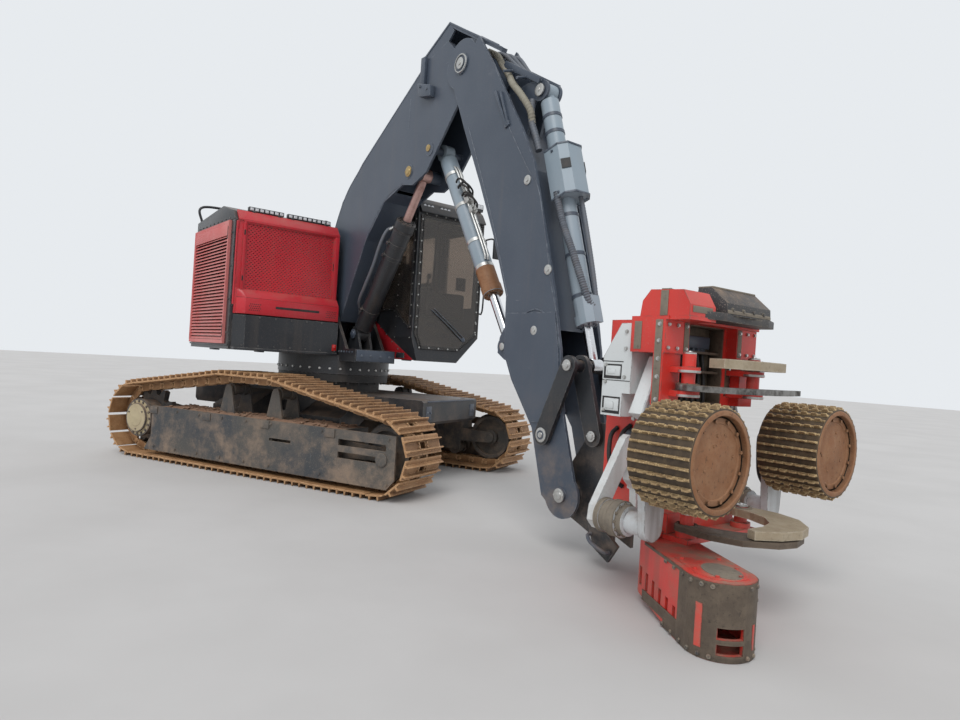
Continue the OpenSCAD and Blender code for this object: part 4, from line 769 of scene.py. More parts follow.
def drum_pieces(side, name):
    body = "feed_drum_" + name
    centre = Vector((0, side * DRUM_Y, DRUM_Z))
    shell = Piece(body + "_shell", body, drum_dark, "track_steel")
    studs = Piece(body + "_studs", body, stud, "track_steel")
    r = DRUM_SHELL_R
    shell.ringed(centre + Vector((DRUM_X0, 0, 0)), AHEAD, [(h, r + d) for h, d in SHELL], 102)
    for i, a in enumerate(around(ROWS)):
        turn = Matrix.Translation(centre) @ Matrix.Rotation(a, 4, "X")
        studs.solid(rectangle(DRUM_X0 + 6, DRUM_X0 + 434, -11, 11, r - 3),
                    rectangle(DRUM_X0 + 8, DRUM_X0 + 432, -5, 5, r + 9), matrix=turn)
        for k in range(6):
            x = DRUM_X0 + 14 + (18 if i % 2 else 0) + k * 69
            lean = dice.uniform(-1.5, 1.5)
            top = DRUM_R - dice.uniform(0, 3.5)
            studs.solid(rectangle(x, x + 52, -10, 10, r + 2),
                        rectangle(x + 7, x + 44, -3.5 + lean, 3.5 + lean, top), 1.2, 1, turn)
    shell.done(30, body)
    studs.done(30)
    plate = Piece(body + "_disc", body, disc, "track_steel")
    plate.ringed(centre + Vector((DRUM_X1, 0, 0)), (-1, 0, 0), [(h, r + d) for h, d in DISC_RIM], 72)
    plate.turned(centre + Vector((DRUM_X1 - 66, 0, 0)), AHEAD, DISC, 72)
    plate.bolt_ring(centre + Vector((DRUM_X1 - 36, 0, 0)), AHEAD, 241, around(12, 0.2), 12, 11)
    for a in around(12, 0.3):
        notch = Matrix.Translation(centre) @ Matrix.Rotation(a, 4, "X")
        plate.block((DRUM_X1 - 4, -26, r - 34), (DRUM_X1 + 1, 26, r - 20), 2, notch)
    # Lumps of rust
    for _ in range(9):
        a = dice.uniform(0, 6)
        q = dice.uniform(40, 200)
        p = centre + Vector((DRUM_X1 - 40, q * math.cos(a), q * math.sin(a)))
        plate.rivet(p, AHEAD, dice.uniform(5, 11))
    plate.done(30)


drum_pieces(-1, "right")
drum_pieces(1, "left")


# Pins of boom, stick, cylinders and head in the side view: x and z
FOOT, ELBOW, TIP = (300, 2080), (3030, 4600), (4830, 490)
ROD_EYE, STICK_FOOT, STICK_PIN = (2060, 3670), (2470, 3840), (3790, 1700)
TILT_FOOT, TILT_PIN, BRACKET_PIN, IDLER_PIN = (4090, 4080), (4870, 1560), (5050, 1000), (4610, 960)

# Boom: guard's post, pins' caps, pipes on its back, weld beads
post = Piece("guard_post", "boom", steel, "dark_steel")
for s in SIDES:
    post.side_prism([(2238, 4905), (2238, 4590), (2320, 4565), (2320, 4905)], s, 226, 266, 4)
    post.side_prism([(2232, 4618), (2500, 4530), (2514, 4402), (2275, 4452)], s, 226, 296, 9)
    for x, z in ((2300, 4560), (2440, 4500)):
        post.bolt((x, s * 296, z), (0, s, 0), 16)
post.done()
rim = Piece("guard_rim", "boom", steel, "dark_steel")
RIM_TOP = [(2236, 4936), (2700, 5170)]
RIM_BACK = [(2700, 5146), (2246, 4914)]
rim.prism([*RIM_TOP, (3642, 4588), (3632, 4570), *RIM_BACK], "y", -221, -213, 3)
rim.prism([*RIM_TOP, (3030, 4965), (3020, 4949), *RIM_BACK], "y", 213, 221, 3)
rim.done()
caps = Piece("boom_pin_caps", "boom", brass, "dark_steel")
for s in SIDES:
    pin_cap(caps, ROD_EYE, s * 231, 62, s)
    caps.turned((STICK_FOOT[0] - 20, s * 231, STICK_FOOT[1] + 18), (0, s, 0),
                [(-3, 40), (8, 38), (10, 20)], 20)
caps.done()
beads = Piece("boom_welds", "boom", steel, "dark_steel")
for s in SIDES:
    for path in ([(-30, 2260), (72, 2880), (410, 3540), (905, 3962), (2270, 4822)],
                 [(590, 2060), (1150, 3010), (1552, 3418), (1920, 3556)]):
        beads.hose([(x, s * 224, z) for x, z in path], 5, 6, step=40)
    beads.block((1990, s * 222 - 4, 4180), (2010, s * 222 + 4, 4520), 2)
    pin_cap(beads, FOOT, s * 300, 92, s)
beads.done()
pipes = Piece("boom_pipes", "boom", zinc, "dark_steel")
PIPE_YS = (-150, -105, -60, 60, 105, 150)
PIPE_PATH = [(-112, 2240), (-72, 2480), (14, 2920), (190, 3272), (345, 3578), (470, 3690), (585, 3752),
             (660, 3815)]
for y in PIPE_YS:
    pipes.hose([(x, y, z) for x, z in PIPE_PATH], 13, 10, step=34)
for x, z, a in ((-25, 2700, 1.36), (255, 3400, 1.09)):
    turn = Matrix.Translation((x, 0, z)) @ Matrix.Rotation(-a, 4, "Y")
    pipes.block((-60, -175, -26), (60, 175, -6), 4, turn)
pipes.done()
loops = Piece("boom_hoses", None, hose_black, "black_paint")
ends = Piece("boom_hose_ends", "boom", zinc, "dark_steel")
for i, y in enumerate(PIPE_YS):
    loops.hose([(-330 - 12 * i, y * 0.8, 1612), (-345 - 12 * i, y * 0.85, 1720),
                (-330 - 8 * i, y * 0.95, 1880), (-240 - 4 * i, y, 2030),
                (-150, y, 2120), (-112, y, 2236)], 19, 10, step=30)
    ends.bar((-121, y, 2206), (-106, y, 2262), 24, 6)
hose_obj = loops.done(50)
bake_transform(hose_obj)
ends.done()

# Boom cylinder: gland with its bolts, clamp, hoses
lift = line_frame((720, 1800), ROD_EYE)
lift_way = lift.to_3x3() @ Vector(UP)
gland = Piece("boom_cylinder_gland", "boom_barrel", black, "black_paint")
gland.ringed(lift @ Vector((0, 0, 1560)), lift_way, [(0, 117), (0, 127), (24, 129), (24, 119)], 48)
gland.ringed(lift @ Vector((0, 0, 1676)), lift_way, [(0, 53), (0, 120), (12, 120), (16, 112), (16, 62),
                                                     (22, 58), (22, 53)], 48)
gland.bolt_ring((0, 0, 1691), UP, 98, around(12), 12, 13, place=lift)
for s in (360, 1180, 1350):
    gland.collar(lift @ Vector((0, 0, s)), lift_way, 114, 121, 46)
    gland.block((-20, -150, s + 4), (20, -116, s + 42), 4, lift)
gland.block((-165, -42, 1490), (-100, 42, 1580), 8, lift)
gland.block((-160, -36, 190), (-98, 36, 270), 8, lift)
gland.done()
lift_hose = Piece("boom_cylinder_hoses", "boom_barrel", wrap_grey, "black_paint")
lift_fit = Piece("boom_cylinder_fittings", "boom_barrel", zinc, "black_paint")
fitted(lift_hose, lift_fit,
       placed(lift, [(-132, -44, 1535), (-140, -120, 1470), (-100, -165, 1300), (-60, -172, 1000),
                     (-70, -168, 700), (-110, -140, 450), (-132, -60, 300), (-132, -38, 240)]),
       20, rib=3, pitch=26, coil=True)
for y in (40, 100):
    path = [(-120, y * 0.4, 1500), (-96, y, 1400), (-92, y, 900), (-92, y, 420), (-118, y * 0.4, 300)]
    lift_fit.hose(placed(lift, path), 13, 10, step=34)
lift_hose.done(50)
lift_fit.done()
rod_mark = Piece("boom_rod_wiper", "boom_barrel", hose_black, "black_paint")
rod_mark.ringed(lift @ Vector((0, 0, 1698)), lift_way, [(0, 51.5), (0, 66), (8, 60), (8, 51.5)], 40)
rod_mark.done()

# Stick cylinder: rusty gland sleeve, band, pipes and a valve block
reach = line_frame(STICK_FOOT, STICK_PIN)
reach_way = reach.to_3x3() @ Vector(UP)
sleeve = Piece("stick_cylinder_gland", "stick_barrel", disc, "dark_steel")
sleeve.ringed(reach @ Vector((0, 0, 1580)), reach_way,
              [(0, 96), (0, 100), (225, 100), (228, 107), (314, 107), (322, 99), (322, 56), (300, 56),
               (230, 96)], 48)
sleeve.bolt_ring((0, 0, 1900), UP, 86, around(10), 10, 11, place=reach)
sleeve.done()
stick_fit = Piece("stick_cylinder_pipes", "stick_barrel", zinc, "dark_steel")
stick_hose = Piece("stick_cylinder_hoses", "stick_barrel", hose_black, "black_paint")
for s in (330, 760, 1240, 1560):
    stick_fit.collar(reach @ Vector((0, 0, s)), reach_way, 94, 101, 38)
for y in (-52, -16):
    path = [(-100, y, 1540), (-122, y, 1440), (-124, y, 900), (-124, y, 420), (-108, y, 300)]
    stick_fit.hose(placed(reach, path), 12, 10, step=34)
stick_fit.block((-176, -78, 700), (-108, 12, 830), 7, reach)
stick_fit.block((-168, -66, 880), (-112, 4, 960), 6, reach)
for s, y in ((725, -60), (765, -20), (805, -60), (905, -40), (940, -20)):
    stick_fit.bar(reach @ Vector((-170, y, s)), reach @ Vector((-200, y, s)), 14, 6)
    # Each hose as (x, y off, z off) from its fitting
    path = [(-188, 0, 0), (-232, -20, -20), (-236, -60, -90), (-190, -70, -160), (-128, -50, -190),
            (-96, -30, -200)]
    stick_hose.hose(placed(reach, [(x, y + dy, s + dz) for x, dy, dz in path]), 11, 8, step=16)
stick_fit.done()
stick_hose.done(50)

# Stick: weld beads, caps, bracket, hoses, plates of the tilt cylinder's foot
lines = Piece("stick_welds", "stick", steel, "dark_steel")
WELDS = (
    (262, 7, 22, [(4030, 1700), (4040, 1813), (4101, 1883), (4210, 1970), (4334, 2022), (4418, 2026),
                  (4517, 1984), (4578, 1900), (4604, 1827), (4640, 1700)]),
    (261, 4, 40, [(3690, 4010), (4140, 3340), (4323, 3100), (4463, 2633), (4560, 2250), (4655, 1965),
                  (4711, 1700)]),
    (261, 4, 40, [(3220, 3900), (3500, 3330), (3760, 2760), (3998, 2160)]))
for s in SIDES:
    for y, r, step, path in WELDS:
        lines.hose([(x, s * y, z) for x, z in path], r, 6, step=step)
    lines.side_prism([(3630, 4136), (3655, 4146), (3850, 3772), (3826, 3760)], s, 259, 283, 3)
    lines.side_prism([(3712, 4110), (3732, 4118), (3862, 3800), (3842, 3790)], s, 259, 283, 3)
    lines.side_prism([(3816, 3745), (3880, 3770), (3862, 3812), (3806, 3790)], s, 259, 278, 3)
    lines.side_prism([(3560, 4446), (3596, 4500), (4112, 4186), (4086, 4136)], s, 112, 136, 3)
    for x, z in ((3700, 4372), (3900, 4250)):
        lines.bar((x, s * 110, z), (x, s * 236, z - 40), 14, 12)
lines.done()
stick_caps = Piece("stick_caps", "stick", zinc, "dark_steel")
ELBOW_CAP = [(-4, 58), (8, 58), (12, 50), (12, 24), (20, 22), (22, 12)]
for s in SIDES:
    outward = (0, s, 0)
    for x, z in ((4388, 1845), (4514, 2367), (4176, 3198)):
        stick_caps.turned((x, s * 259, z), outward, [(0, 44), (9, 44), (12, 38), (13, 20), (20, 18)], 24)
    stick_caps.ringed((ELBOW[0], s * 272, ELBOW[1]), outward, [(0, 84), (0, 100), (12, 96), (12, 86)], 40)
    stick_caps.turned((ELBOW[0], s * 280, ELBOW[1]), outward, ELBOW_CAP, 32)
    pin_cap(stick_caps, TIP, s * 281, 58, s)
    tilt_foot = (TILT_FOOT[0], s * 108, TILT_FOOT[1])
    stick_caps.turned(tilt_foot, outward, [(-4, 58), (10, 58), (14, 50), (14, 18), (20, 14)], 28)
    stick_caps.turned((STICK_PIN[0], s * 112, STICK_PIN[1]), outward, [(-4, 36), (10, 36), (13, 28)], 24)
stick_caps.done()
RIBBED = {"sides": 12, "rib": 5, "pitch": 30, "coil": True, "step": 8}
COILED = {"sides": 10, "rib": 3, "pitch": 26, "coil": True}
tan_hose = Piece("stick_hose_tan", "stick", wrap_tan, "black_paint")
tan_hose.hose([(3285, -112, 4690), (3440, -112, 4590), (3530, -114, 4470), (3650, -122, 4330),
               (3790, -190, 4200), (3930, -188, 4050), (4020, -150, 3900),
               (4030, -120, 3780)], 30, **RIBBED)
tan_hose.done(60)
grey_hose = Piece("stick_hose_grey", "stick", wrap_grey, "black_paint")
grey_hose.hose([(3990, -104, 4010), (4008, -122, 3900), (4030, -126, 3780), (4090, -126, 3650),
                (4150, -124, 3500)], 30, **RIBBED)
for k in range(3):
    grey_hose.hose([(3282, -40 + 80 * k, 4690), (3450 + 20 * k, -40 + 78 * k, 4630),
                    (3720, -50 + 66 * k, 4400), (3950, -60 + 62 * k, 4220),
                    (4010, -64 + 60 * k, 4140)], 20, **COILED, step=9)
grey_hose.done(60)

# Tilt cylinder: slot of its box, bands, ribbed hose
tilt = line_frame(TILT_FOOT, TILT_PIN)
tilt_way = tilt.to_3x3() @ Vector(UP)
# Painted shade: thin black strips stand for the shade inside the slots at the box's corners.
slot = Piece("tilt_box_slot", "tilt_barrel", hose_black, "black_paint")
for s in SIDES:
    slot.prism([(-141, s * 146), (-199, s * 88), (-205, s * 92), (-146, s * 152)], "z", 800, 890, 0, tilt)
slot.done()
bands = Piece("tilt_cylinder_bands", "tilt_barrel", steel, "dark_steel")
for s in (250, 420, 1250, 1620, 2000):
    bands.collar(tilt @ Vector((0, 0, s)), tilt_way, 84, 91, 30)
BOX_OUTSIDE = [(38, -156), (-138, -156), (-208, -88), (-208, 88), (-138, 156), (38, 156)]
BOX_INSIDE = [(38, 148), (-134, 148), (-198, 84), (-198, -84), (-134, -148), (38, -148)]
for s in (636, 1110):
    bands.prism(BOX_OUTSIDE + BOX_INSIDE, "z", s, s + 14, 0, tilt)
for s in (680, 1080):
    for y in SIDES:
        bands.bolt(tilt @ Vector((-60, y * 152, s)), (0, y, 0), 11)
bands.bolt_ring((0, 0, 2280), UP, 76, around(10), 8, 9, place=tilt)
bands.done()
ribbed = Piece("tilt_hose_ribbed", "tilt_barrel", wrap_grey, "black_paint")
path = [(-20, -128, 1060), (-20, -130, 1180), (-35, -124, 1400), (-75, -112, 1650), (-105, -96, 1900),
        (-118, -70, 2080), (-122, -30, 2150)]
ribbed.hose(placed(tilt, path), 27, 12, 7, 22, False, 5.5)
path = [(-120, 60, 1080), (-122, 64, 1250), (-122, 60, 1500), (-122, 50, 1800), (-120, 30, 2100)]
ribbed.hose(placed(tilt, path), 20, **COILED, step=8)
ribbed.done(50)


# Cooler housing: front door with its staggered holes and lower band, fins behind it, lamps, latches, trim
def perforated(piece, y0, y1, z0, z1, x_back, x_front, pitch, row, hole):
    """A sheet facing forward with diamond holes in staggered rows."""
    bm = bmesh.new()
    made = {}

    def face(*points):
        corners = []
        for p in points:
            key = tuple(round(c, 2) for c in p)
            if key not in made:
                made[key] = bm.verts.new(key)
            if made[key] not in corners:
                corners.append(made[key])
        if len(corners) > 2 and not bm.faces.get(corners):
            bm.faces.new(corners)

    rows, cols = int((z1 - z0) / row), int((y1 - y0) / pitch)
    row, pitch = (z1 - z0) / rows, (y1 - y0) / cols
    h, w = row * hole / 2, pitch * hole / 2
    for j in range(rows):
        low, high = z0 + j * row, z0 + (j + 1) * row
        mid = (low + high) / 2
        if j % 2:
            for a in (y0, y1 - pitch / 2):
                for x in (x_front, x_back):
                    face((x, a, low), (x, a + pitch / 2, low), (x, a + pitch / 2, high), (x, a, high))
        for i in range(cols - j % 2):
            a = y0 + (i + j % 2 / 2) * pitch
            b, c = a + pitch, a + pitch / 2
            ring = [(c - w, mid), (c, mid - h), (c + w, mid), (c, mid + h)]
            for x in (x_front, x_back):
                face((x, a, low), (x, c, low), (x, *ring[1]), (x, *ring[0]))
                face((x, c, low), (x, b, low), (x, *ring[2]), (x, *ring[1]))
                face((x, b, low), (x, b, high), (x, *ring[2]))
                face((x, b, high), (x, c, high), (x, *ring[3]), (x, *ring[2]))
                face((x, c, high), (x, a, high), (x, *ring[0]), (x, *ring[3]))
                face((x, a, high), (x, a, low), (x, *ring[0]))
            for p, q in zip(ring, ring[1:] + ring[:1]):
                face((x_front, *p), (x_front, *q), (x_back, *q), (x_back, *p))
    piece.take(bm, outward=True)


YA, YB = -1640, -330
front = Piece("grille_front", "grille_door", red, "red_paint")
perforated(front, -1530, -400, 2235, 3025, 576, 585, pitch=44, row=22, hole=0.52)
# The door's frame and the raised rim on it: each bar's y and z
FRAME = ((YA, YB, 1935, 2237), (YA, YB, 3023, 3062), (YA, -1528, 2235, 3025), (-402, YB, 2235, 3025))
RIM = ((-1580, YB, 2175, 2222), (-1580, YB, 3038, 3060), (-1580, -1543, 2220, 3040), (-387, YB, 2220, 3040))
for bars, x0, x1, bevel in ((FRAME, 574, 594, 2), (RIM, 592, 610, 4)):
    for y0, y1, z0, z1 in bars:
        front.block((x0, y0, z0), (x1, y1, z1), bevel)
front.prism([(575, 3052), (606, 3050), (606, 3068), (514, 3184), (486, 3174), (575, 3062)], "y", YA, YB, 3)
BAND = [(600, -1620), (600, YB), (684, YB + 10), (684, -1530)]
BAND_TOP = [(596, -1620), (596, YB), (606, YB + 10), (606, -1560)]
for lower, upper, z0, z1, bevel in ((BAND, BAND, 1936, 2130, 5), (BAND, BAND_TOP, 2131, 2226, 4)):
    front.solid([(x, y, z0) for x, y in lower], [(x, y, z1) for x, y in upper], bevel)
front.bar((589, -1650, 2040), (589, -1650, 3005), 12, 20)
for z in (2300, 2950):
    front.block((578, -1660, z), (600, -1630, z + 90), 2)
front.done(30, "grille_door")
# Painted shade: black discs and blocks stand for the shade inside the band's holes and slot and the door's
# small openings.
holes = Piece("grille_band_holes", "grille_door", hose_black, "black_paint")
for y0 in (-1480, -490):
    for i in range(6):
        for j in range(4):
            y, z = y0 + i * 24 + 12 * (j % 2), 1985 + j * 24
            holes.bar((683, y, z), (685, y, z), 7, 6)
holes.block((683, -1160, 2026), (686, -590, 2054))
holes.block((594, -398, 2600), (597, -345, 2690))
for z in (2330, 2880):
    holes.block((611, -1572, z), (613, -1556, z + 60))
holes.done()
cooler = Piece("cooler_fins", "house", engine_metal, "engine_metal")
for z in range(2180, 3044, 16):
    cooler.block((440, -1600, z), (470, -360, z + 5))
for y in (-1560, -1260, -960, -660, -400):
    cooler.block((425, y - 12, 2160), (478, y + 12, 3060))
cooler.done()

lamps = Piece("roof_lamp_bars", "house", black, "black_paint")
glass = Piece("roof_lamp_glass", "house", clear_lens, "window")
for y0, y1 in ((-1500, -1060), (-1010, -430)):
    lamps.block((455, y0, 3192), (515, y1, 3246), 6)
    for y in (y0 + 60, y1 - 60):
        lamps.block((440, y - 20, 3170), (520, y + 20, 3196), 3)
    count = int((y1 - y0) / 60)
    for k in range(count):
        y = y0 + 34 + k * (y1 - y0 - 68) / (count - 1)
        glass.block((512, y - 22, 3202), (519, y + 22, 3236), 3)
for y in (380, 640, 905):
    lamps.block((1398, y, 3452), (1446, y + 190, 3520), 8)
    for k in range(3):
        glass.turned((1440, y + 38 + k * 57, 3486), AHEAD, [(0, 24), (9, 24), (12, 18)], 20)
ROOF_Z = 3600
for x, y, s in ((1330, 360, 1), (1330, 1370, 1), (-150, 420, -1), (-150, 1310, -1)):
    lamps.block((x - 30, y - 55, ROOF_Z), (x + 30, y + 55, ROOF_Z + 28), 3)
    lamps.block((x - 34, y - 60, ROOF_Z + 26), (x + 34, y + 60, ROOF_Z + 100), 10)
    glass.block((x + s * 33 - 4, y - 50, ROOF_Z + 36), (x + s * 33 + 4, y + 50, ROOF_Z + 92), 3)
lamps.done()
glass.done()

slats = Piece("louvre_top_sheet", "louvre_door", faded_red, "red_paint")
slats.block((-945, -1707, 2872), (398, -1700, 3012), 2)
for x in (-990, 430):
    slats.block((x, -1708, 1600), (x + 10, -1703, 3050), 2)
slats.done()
latch = Piece("louvre_latches", "louvre_door", hose_black, "black_paint")
for z in (2830, 1650):
    latch.block((414, -1709, z), (438, -1704, z + 150), 2)
latch.done()
skin = Piece("housing_trim", "house", black, "black_paint")
skin.block((458, -1676, 1562), (566, -1668, 3050), 3)
skin.bolt_grid(512, -1677, (1700, 2100, 2500, 2900), RIGHT, 11)
skin.prism([(-1006, 3062), (566, 3062), (566, 3070), (480, 3174), (72, 3276), (-1006, 3188)],
           "y", -1677, -1669, 3)
skin.bolt_grid(range(-900, 400, 160), -1678, 3090, RIGHT, 9)
skin.block((-1010, -1690, 1540), (580, -1668, 1562), 4)
skin.block((566, -1650, 1500), (720, -318, 1530), 5)
skin.bolt_grid(716, range(-1560, -330, 200), (1560, 1900), AHEAD, 9)
skin.done()
tail = Piece("lamp_lenses_red", "house", red_lens, "red_paint")
tail.block((714, -400, 1556), (722, -340, 1640), 4)
for s in SIDES:
    for c in (14, 30):
        turn = Matrix.Rotation(math.radians(180 + s * c), 4, "Z")
        tail.block((1944, -80, 1700), (1958, 80, 1760), 4, turn)
tail.done()

# Deck and engine hood: rails, panels, exhaust, handles, steps, tank cap
rails = Piece("roof_rails", "house", black, "black_paint")
for path in (
        ((-980, -1630, 3190), (-980, -1630, 3420), (-980, -1000, 3440), (-980, -400, 3440),
         (-980, -340, 3420), (-980, -340, 3192)),
        ((-1480, 1180, 3000), (-1480, 1180, 3230), (-1000, 1300, 3240), (-420, 1300, 3240),
         (-400, 1300, 3200), (-400, 1300, 3000))):
    rails.hose(path, 17, 12, step=24)
rails.bar((-980, -985, 3190), (-980, -985, 3440), 15, 12)
rails.bar((-900, 1270, 3000), (-900, 1290, 3236), 15, 12)
for z in (1750, 2000, 2250, 2500):
    rails.hose([(-760, 1636, z), (-760, 1676, z), (-620, 1676, z), (-620, 1636, z)], 12, 10, step=16)
for x in (-250, 520):
    rails.hose([(x, 1610, 2096), (x, 1612, 2380), (x, 1560, 2450), (x, 1490, 2380), (x, 1484, 2096)],
               14, 10, step=22)
rails.hose([(1392, 1424, 2200), (1440, 1452, 2230), (1446, 1456, 2700), (1440, 1452, 3170),
            (1392, 1424, 3200)], 12, 10, step=20)
rails.done()
stack = Piece("exhaust_stack", "house", engine_metal, "engine_metal")
stack.turned((-1290, 360, 2990), UP, [(0, 120), (16, 120), (18, 84), (330, 84), (344, 70), (430, 66)], 40)
stack.hose([(-1290, 360, 3410), (-1290, 360, 3500), (-1320, 360, 3560), (-1380, 360, 3590)], 58, 20, step=20)
for z in (3080, 3220):
    stack.collar((-1290, 360, z), UP, 83, 90, 22, 36)
stack.turned((-1330, -420, 2990), UP, [(0, 96), (130, 96), (136, 150), (250, 158), (270, 120), (276, 40)], 40)
stack.done()

sheets = Piece("hood_panels", "house", black, "black_paint")
sheets.block((-990, 1636, 1650), (-370, 1646, 2940), 4)
for k in range(14):
    z = 2250 + k * 42
    sheets.prism([(1644, z), (1662, z - 4), (1662, z + 2), (1644, z + 26)], "x", -930, -430, 1)
sheets.bolt_grid((-960, -400), 1647, (1720, 2880), LEFT, 9)
sheets.block((-460, 1645, 2060), (-420, 1664, 2200), 5)
for a, b in ((124.5, 141.5), (218.5, 235.5)):
    sheets.prism(arc_plan(1938, 1947, a, b), "z", 1650, 2940, 0)
    for k in range(12):
        z = 2250 + k * 46
        sheets.prism(arc_plan(1945, 1958, a + 2.5, b - 2.5), "z", z, z + 9, 0)
    for z in (1720, 2880):
        for c in (a + 1, b - 1):
            w = math.radians(c)
            sheets.bolt((1946 * math.cos(w), 1946 * math.sin(w), z), (math.cos(w), math.sin(w), 0), 9)
for y0 in (-1080, -520, 40, 600):
    sheets.block((-1570, y0, 2530), (-1556, y0 + 480, 2965), 4)
    for k in range(8):
        sheets.block((-1580, y0 + 40, 2580 + k * 44), (-1568, y0 + 440, 2600 + k * 44), 3)
    sheets.bolt_grid(-1571, (y0 + 20, y0 + 460), (2550, 2945), (-1, 0, 0), 8)
sheets.bolt_grid((-1500, -1110), (-900, -300, 300, 900), 3000, UP, 10)
for y in (-520, 520):
    sheets.prism([(y - 60, 2498), (y + 60, 2498), (y + 46, 2580), (y - 46, 2580)], "x", -1790, -1750, 6)
sheets.done()
seams = Piece("counterweight_seams", "house", steel, "black_paint")
for z in (1622, 2478):
    seams.prism(arc_plan(1945, 1955, 148, 212, 24), "z", z - 6, z + 6, 0)
for s in SIDES:
    for c in (12, 20, 28):
        a = math.radians(180 + s * c)
        seams.bolt((1949 * math.cos(a), 1949 * math.sin(a), 2050), (math.cos(a), math.sin(a), 0), 26)
    seams.prism(arc_plan(1944, 1953, 180 + s * 6, 180 + s * 31, 10), "z", 1850, 1862, 0)
seams.done()
tank_bits = Piece("tank_fittings", "house", steel, "black_paint")
tank_bits.turned((380, 1520, 2100), UP, [(0, 70), (20, 70), (24, 60), (60, 58), (66, 50)], 32)
tank_bits.block((-260, 1645, 1640), (520, 1656, 2060), 5)
for k in range(3):
    tank_bits.block((560, 1440, 1600 + k * 160), (640, 1620, 1618 + k * 160), 3)
tank_bits.bolt_grid((-220, 140, 480), 1655, (1690, 2010), LEFT, 10)
for y in (-1500, -900, 900, 1500):
    tank_bits.block((-600, y - 40, 1478), (-420, y + 40, 1502), 4)
tank_bits.done()

# Cab: bolts round the panes, seals, what is inside, wiper, visor, handle and the left rear pane
cab_bolts = Piece("cab_bolts", "house", zinc, "black_paint")
rows = [3310 - k * 138 for k in range(12)]
cab_bolts.bolt_grid(1418, 323, rows, RIGHT, 9)
for k, z in enumerate(rows[3:]):
    cab_bolts.bolt((1080 - k * 3, 323, z), RIGHT, 8)
cab_bolts.bolt_grid(1462, 1335, rows[:11], AHEAD, 9)
cab_bolts.bolt_grid(1462, 388, rows[:11], AHEAD, 8)
for x, z in ((580, 2160), (740, 2158), (880, 2156), (1010, 2140), (1130, 2066), (1260, 1988), (1370, 1926)):
    cab_bolts.bolt((x, 323, z), RIGHT, 8)
for x, z in ((1462, 1674), (1450, 3396)):
    cab_bolts.bolt_grid(x, (450, 600, 750, 900, 1050), z, AHEAD, 9)
for x, z in ((480, 2034), (640, 1941), (800, 1848), (960, 1754), (1120, 1661)):
    cab_bolts.bolt((x, 344, z - 20), RIGHT, 9)
cab_bolts.bolt_grid(1462, 1342, (1900, 2050), AHEAD, 9)
cab_bolts.done()
edging = Piece("window_seals", "house", hose_black, "black_paint")
# Each seal's axis across, its place on that axis and its corners
SEALS = (
    (0, 1463, [(408, 1845), (482, 1660), (1065, 1660), (1362, 1905), (1362, 3372), (408, 3372)]),
    (1, 322, [(534, 2152), (1008, 2152), (1396, 1914), (1396, 3386), (534, 3386)]),
    (1, 322, [(-186, 2224), (506, 2224), (506, 3386), (-186, 3386)]))
for k, at, outline in SEALS:
    corners = [(*p[:k], at, *p[k:]) for p in outline]
    for p, q in zip(corners, corners[1:] + corners[:1]):
        edging.bar(p, q, 8, 8)
edging.prism([(1394, 3386), (1394, 1914), (1378, 1914), (1378, 3386)], "y", 318, 326, 2)
edging.done()
inner = Piece("cab_inside", "house", black, "black_paint")
inner.block((1290, 700, 2180), (1345, 745, 3480), 6)
inner.block((520, 400, 2180), (580, 450, 3480), 6)
inner.block((1120, 560, 2100), (1380, 1180, 2420), 20)
inner.block((430, 620, 2320), (700, 700, 2560), 14)
inner.block((430, 1030, 2320), (700, 1110, 2560), 14)
for y in (655, 1070):
    inner.hose([(600, y, 2550), (610, y, 2620), (640, y, 2700)], 16, 12, step=12)
    inner.turned((636, y, 2680), (0.3, 0, 1), [(0, 16), (10, 28), (50, 32), (74, 22), (80, 8)], 20)
inner.block((1150, 1180, 2500), (1190, 1330, 2680), 12)
inner.done()
wiper = Piece("front_wiper", "house", steel, "black_paint")
wiper.hose([(1470, 600, 2170), (1478, 690, 2110), (1480, 900, 1965), (1476, 1120, 1800)], 7, 8, step=24)
wiper.hose([(1470, 640, 2190), (1478, 740, 2120), (1480, 950, 1975), (1476, 1140, 1842)], 5, 8, step=24)
wiper.turned((1462, 1135, 1815), AHEAD, [(0, 30), (18, 28), (24, 16)], 20)
wiper.done()
trim = Piece("cab_trim", "house", black, "black_paint")
trim.prism([(1392, 3500), (1452, 3402), (1500, 3398), (1504, 3410), (1420, 3540), (1340, 3604)],
           "y", 345, 1385, 4)
trim.block((-240, 340, 3588), (1330, 1390, 3606), 6)
for x in (0, 400, 800, 1200):
    trim.block((x - 8, 350, 3600), (x + 8, 1380, 3614), 3)
trim.prism([(1096, 1524), (1290, 1524), (1280, 1592), (1110, 1596)], "y", 330, 352, 5)
trim.hose([(1420, 1420, 3200), (1500, 1500, 3230), (1520, 1560, 3200)], 12, 10, step=14)
trim.block((1500, 1520, 2960), (1530, 1640, 3230), 12)
trim.done()
door_bits = Piece("cab_door_fittings", "cab_door", black, "black_paint")
door_bits.hose([(1300, 1430, 2300), (1306, 1462, 2320), (1306, 1464, 2600), (1300, 1430, 2620)],
               11, 10, step=14)
door_bits.block((1290, 1428, 2200), (1350, 1446, 2270), 6)
door_bits.bolt_grid(545, 1429, range(2180, 3500, 165), LEFT, 8)
door_bits.bolt_grid(1335, 1429, range(2340, 3460, 140), LEFT, 8)
door_bits.done()
deck_bits = Piece("deck_fittings", "house", steel, "black_paint")
for s in SIDES:
    deck_bits.bolt_grid(range(620, 1145, 75), s * 286, 1560, (0, s, 0), 12)
    pin_cap(deck_bits, (720, 1800), s * 110, 62, s)
deck_bits.block((1148, -270, 1450), (1160, 270, 1592), 4)
deck_bits.bolt_grid(1161, (-200, -70, 70, 200), 1520, AHEAD, 12)
deck_bits.done()
rear_pane = Piece("cab_left_pane", "house", window, "window")
rear_pane.block((-130, 1393, 2320), (430, 1403, 3390), 2)
rear_pane.done()


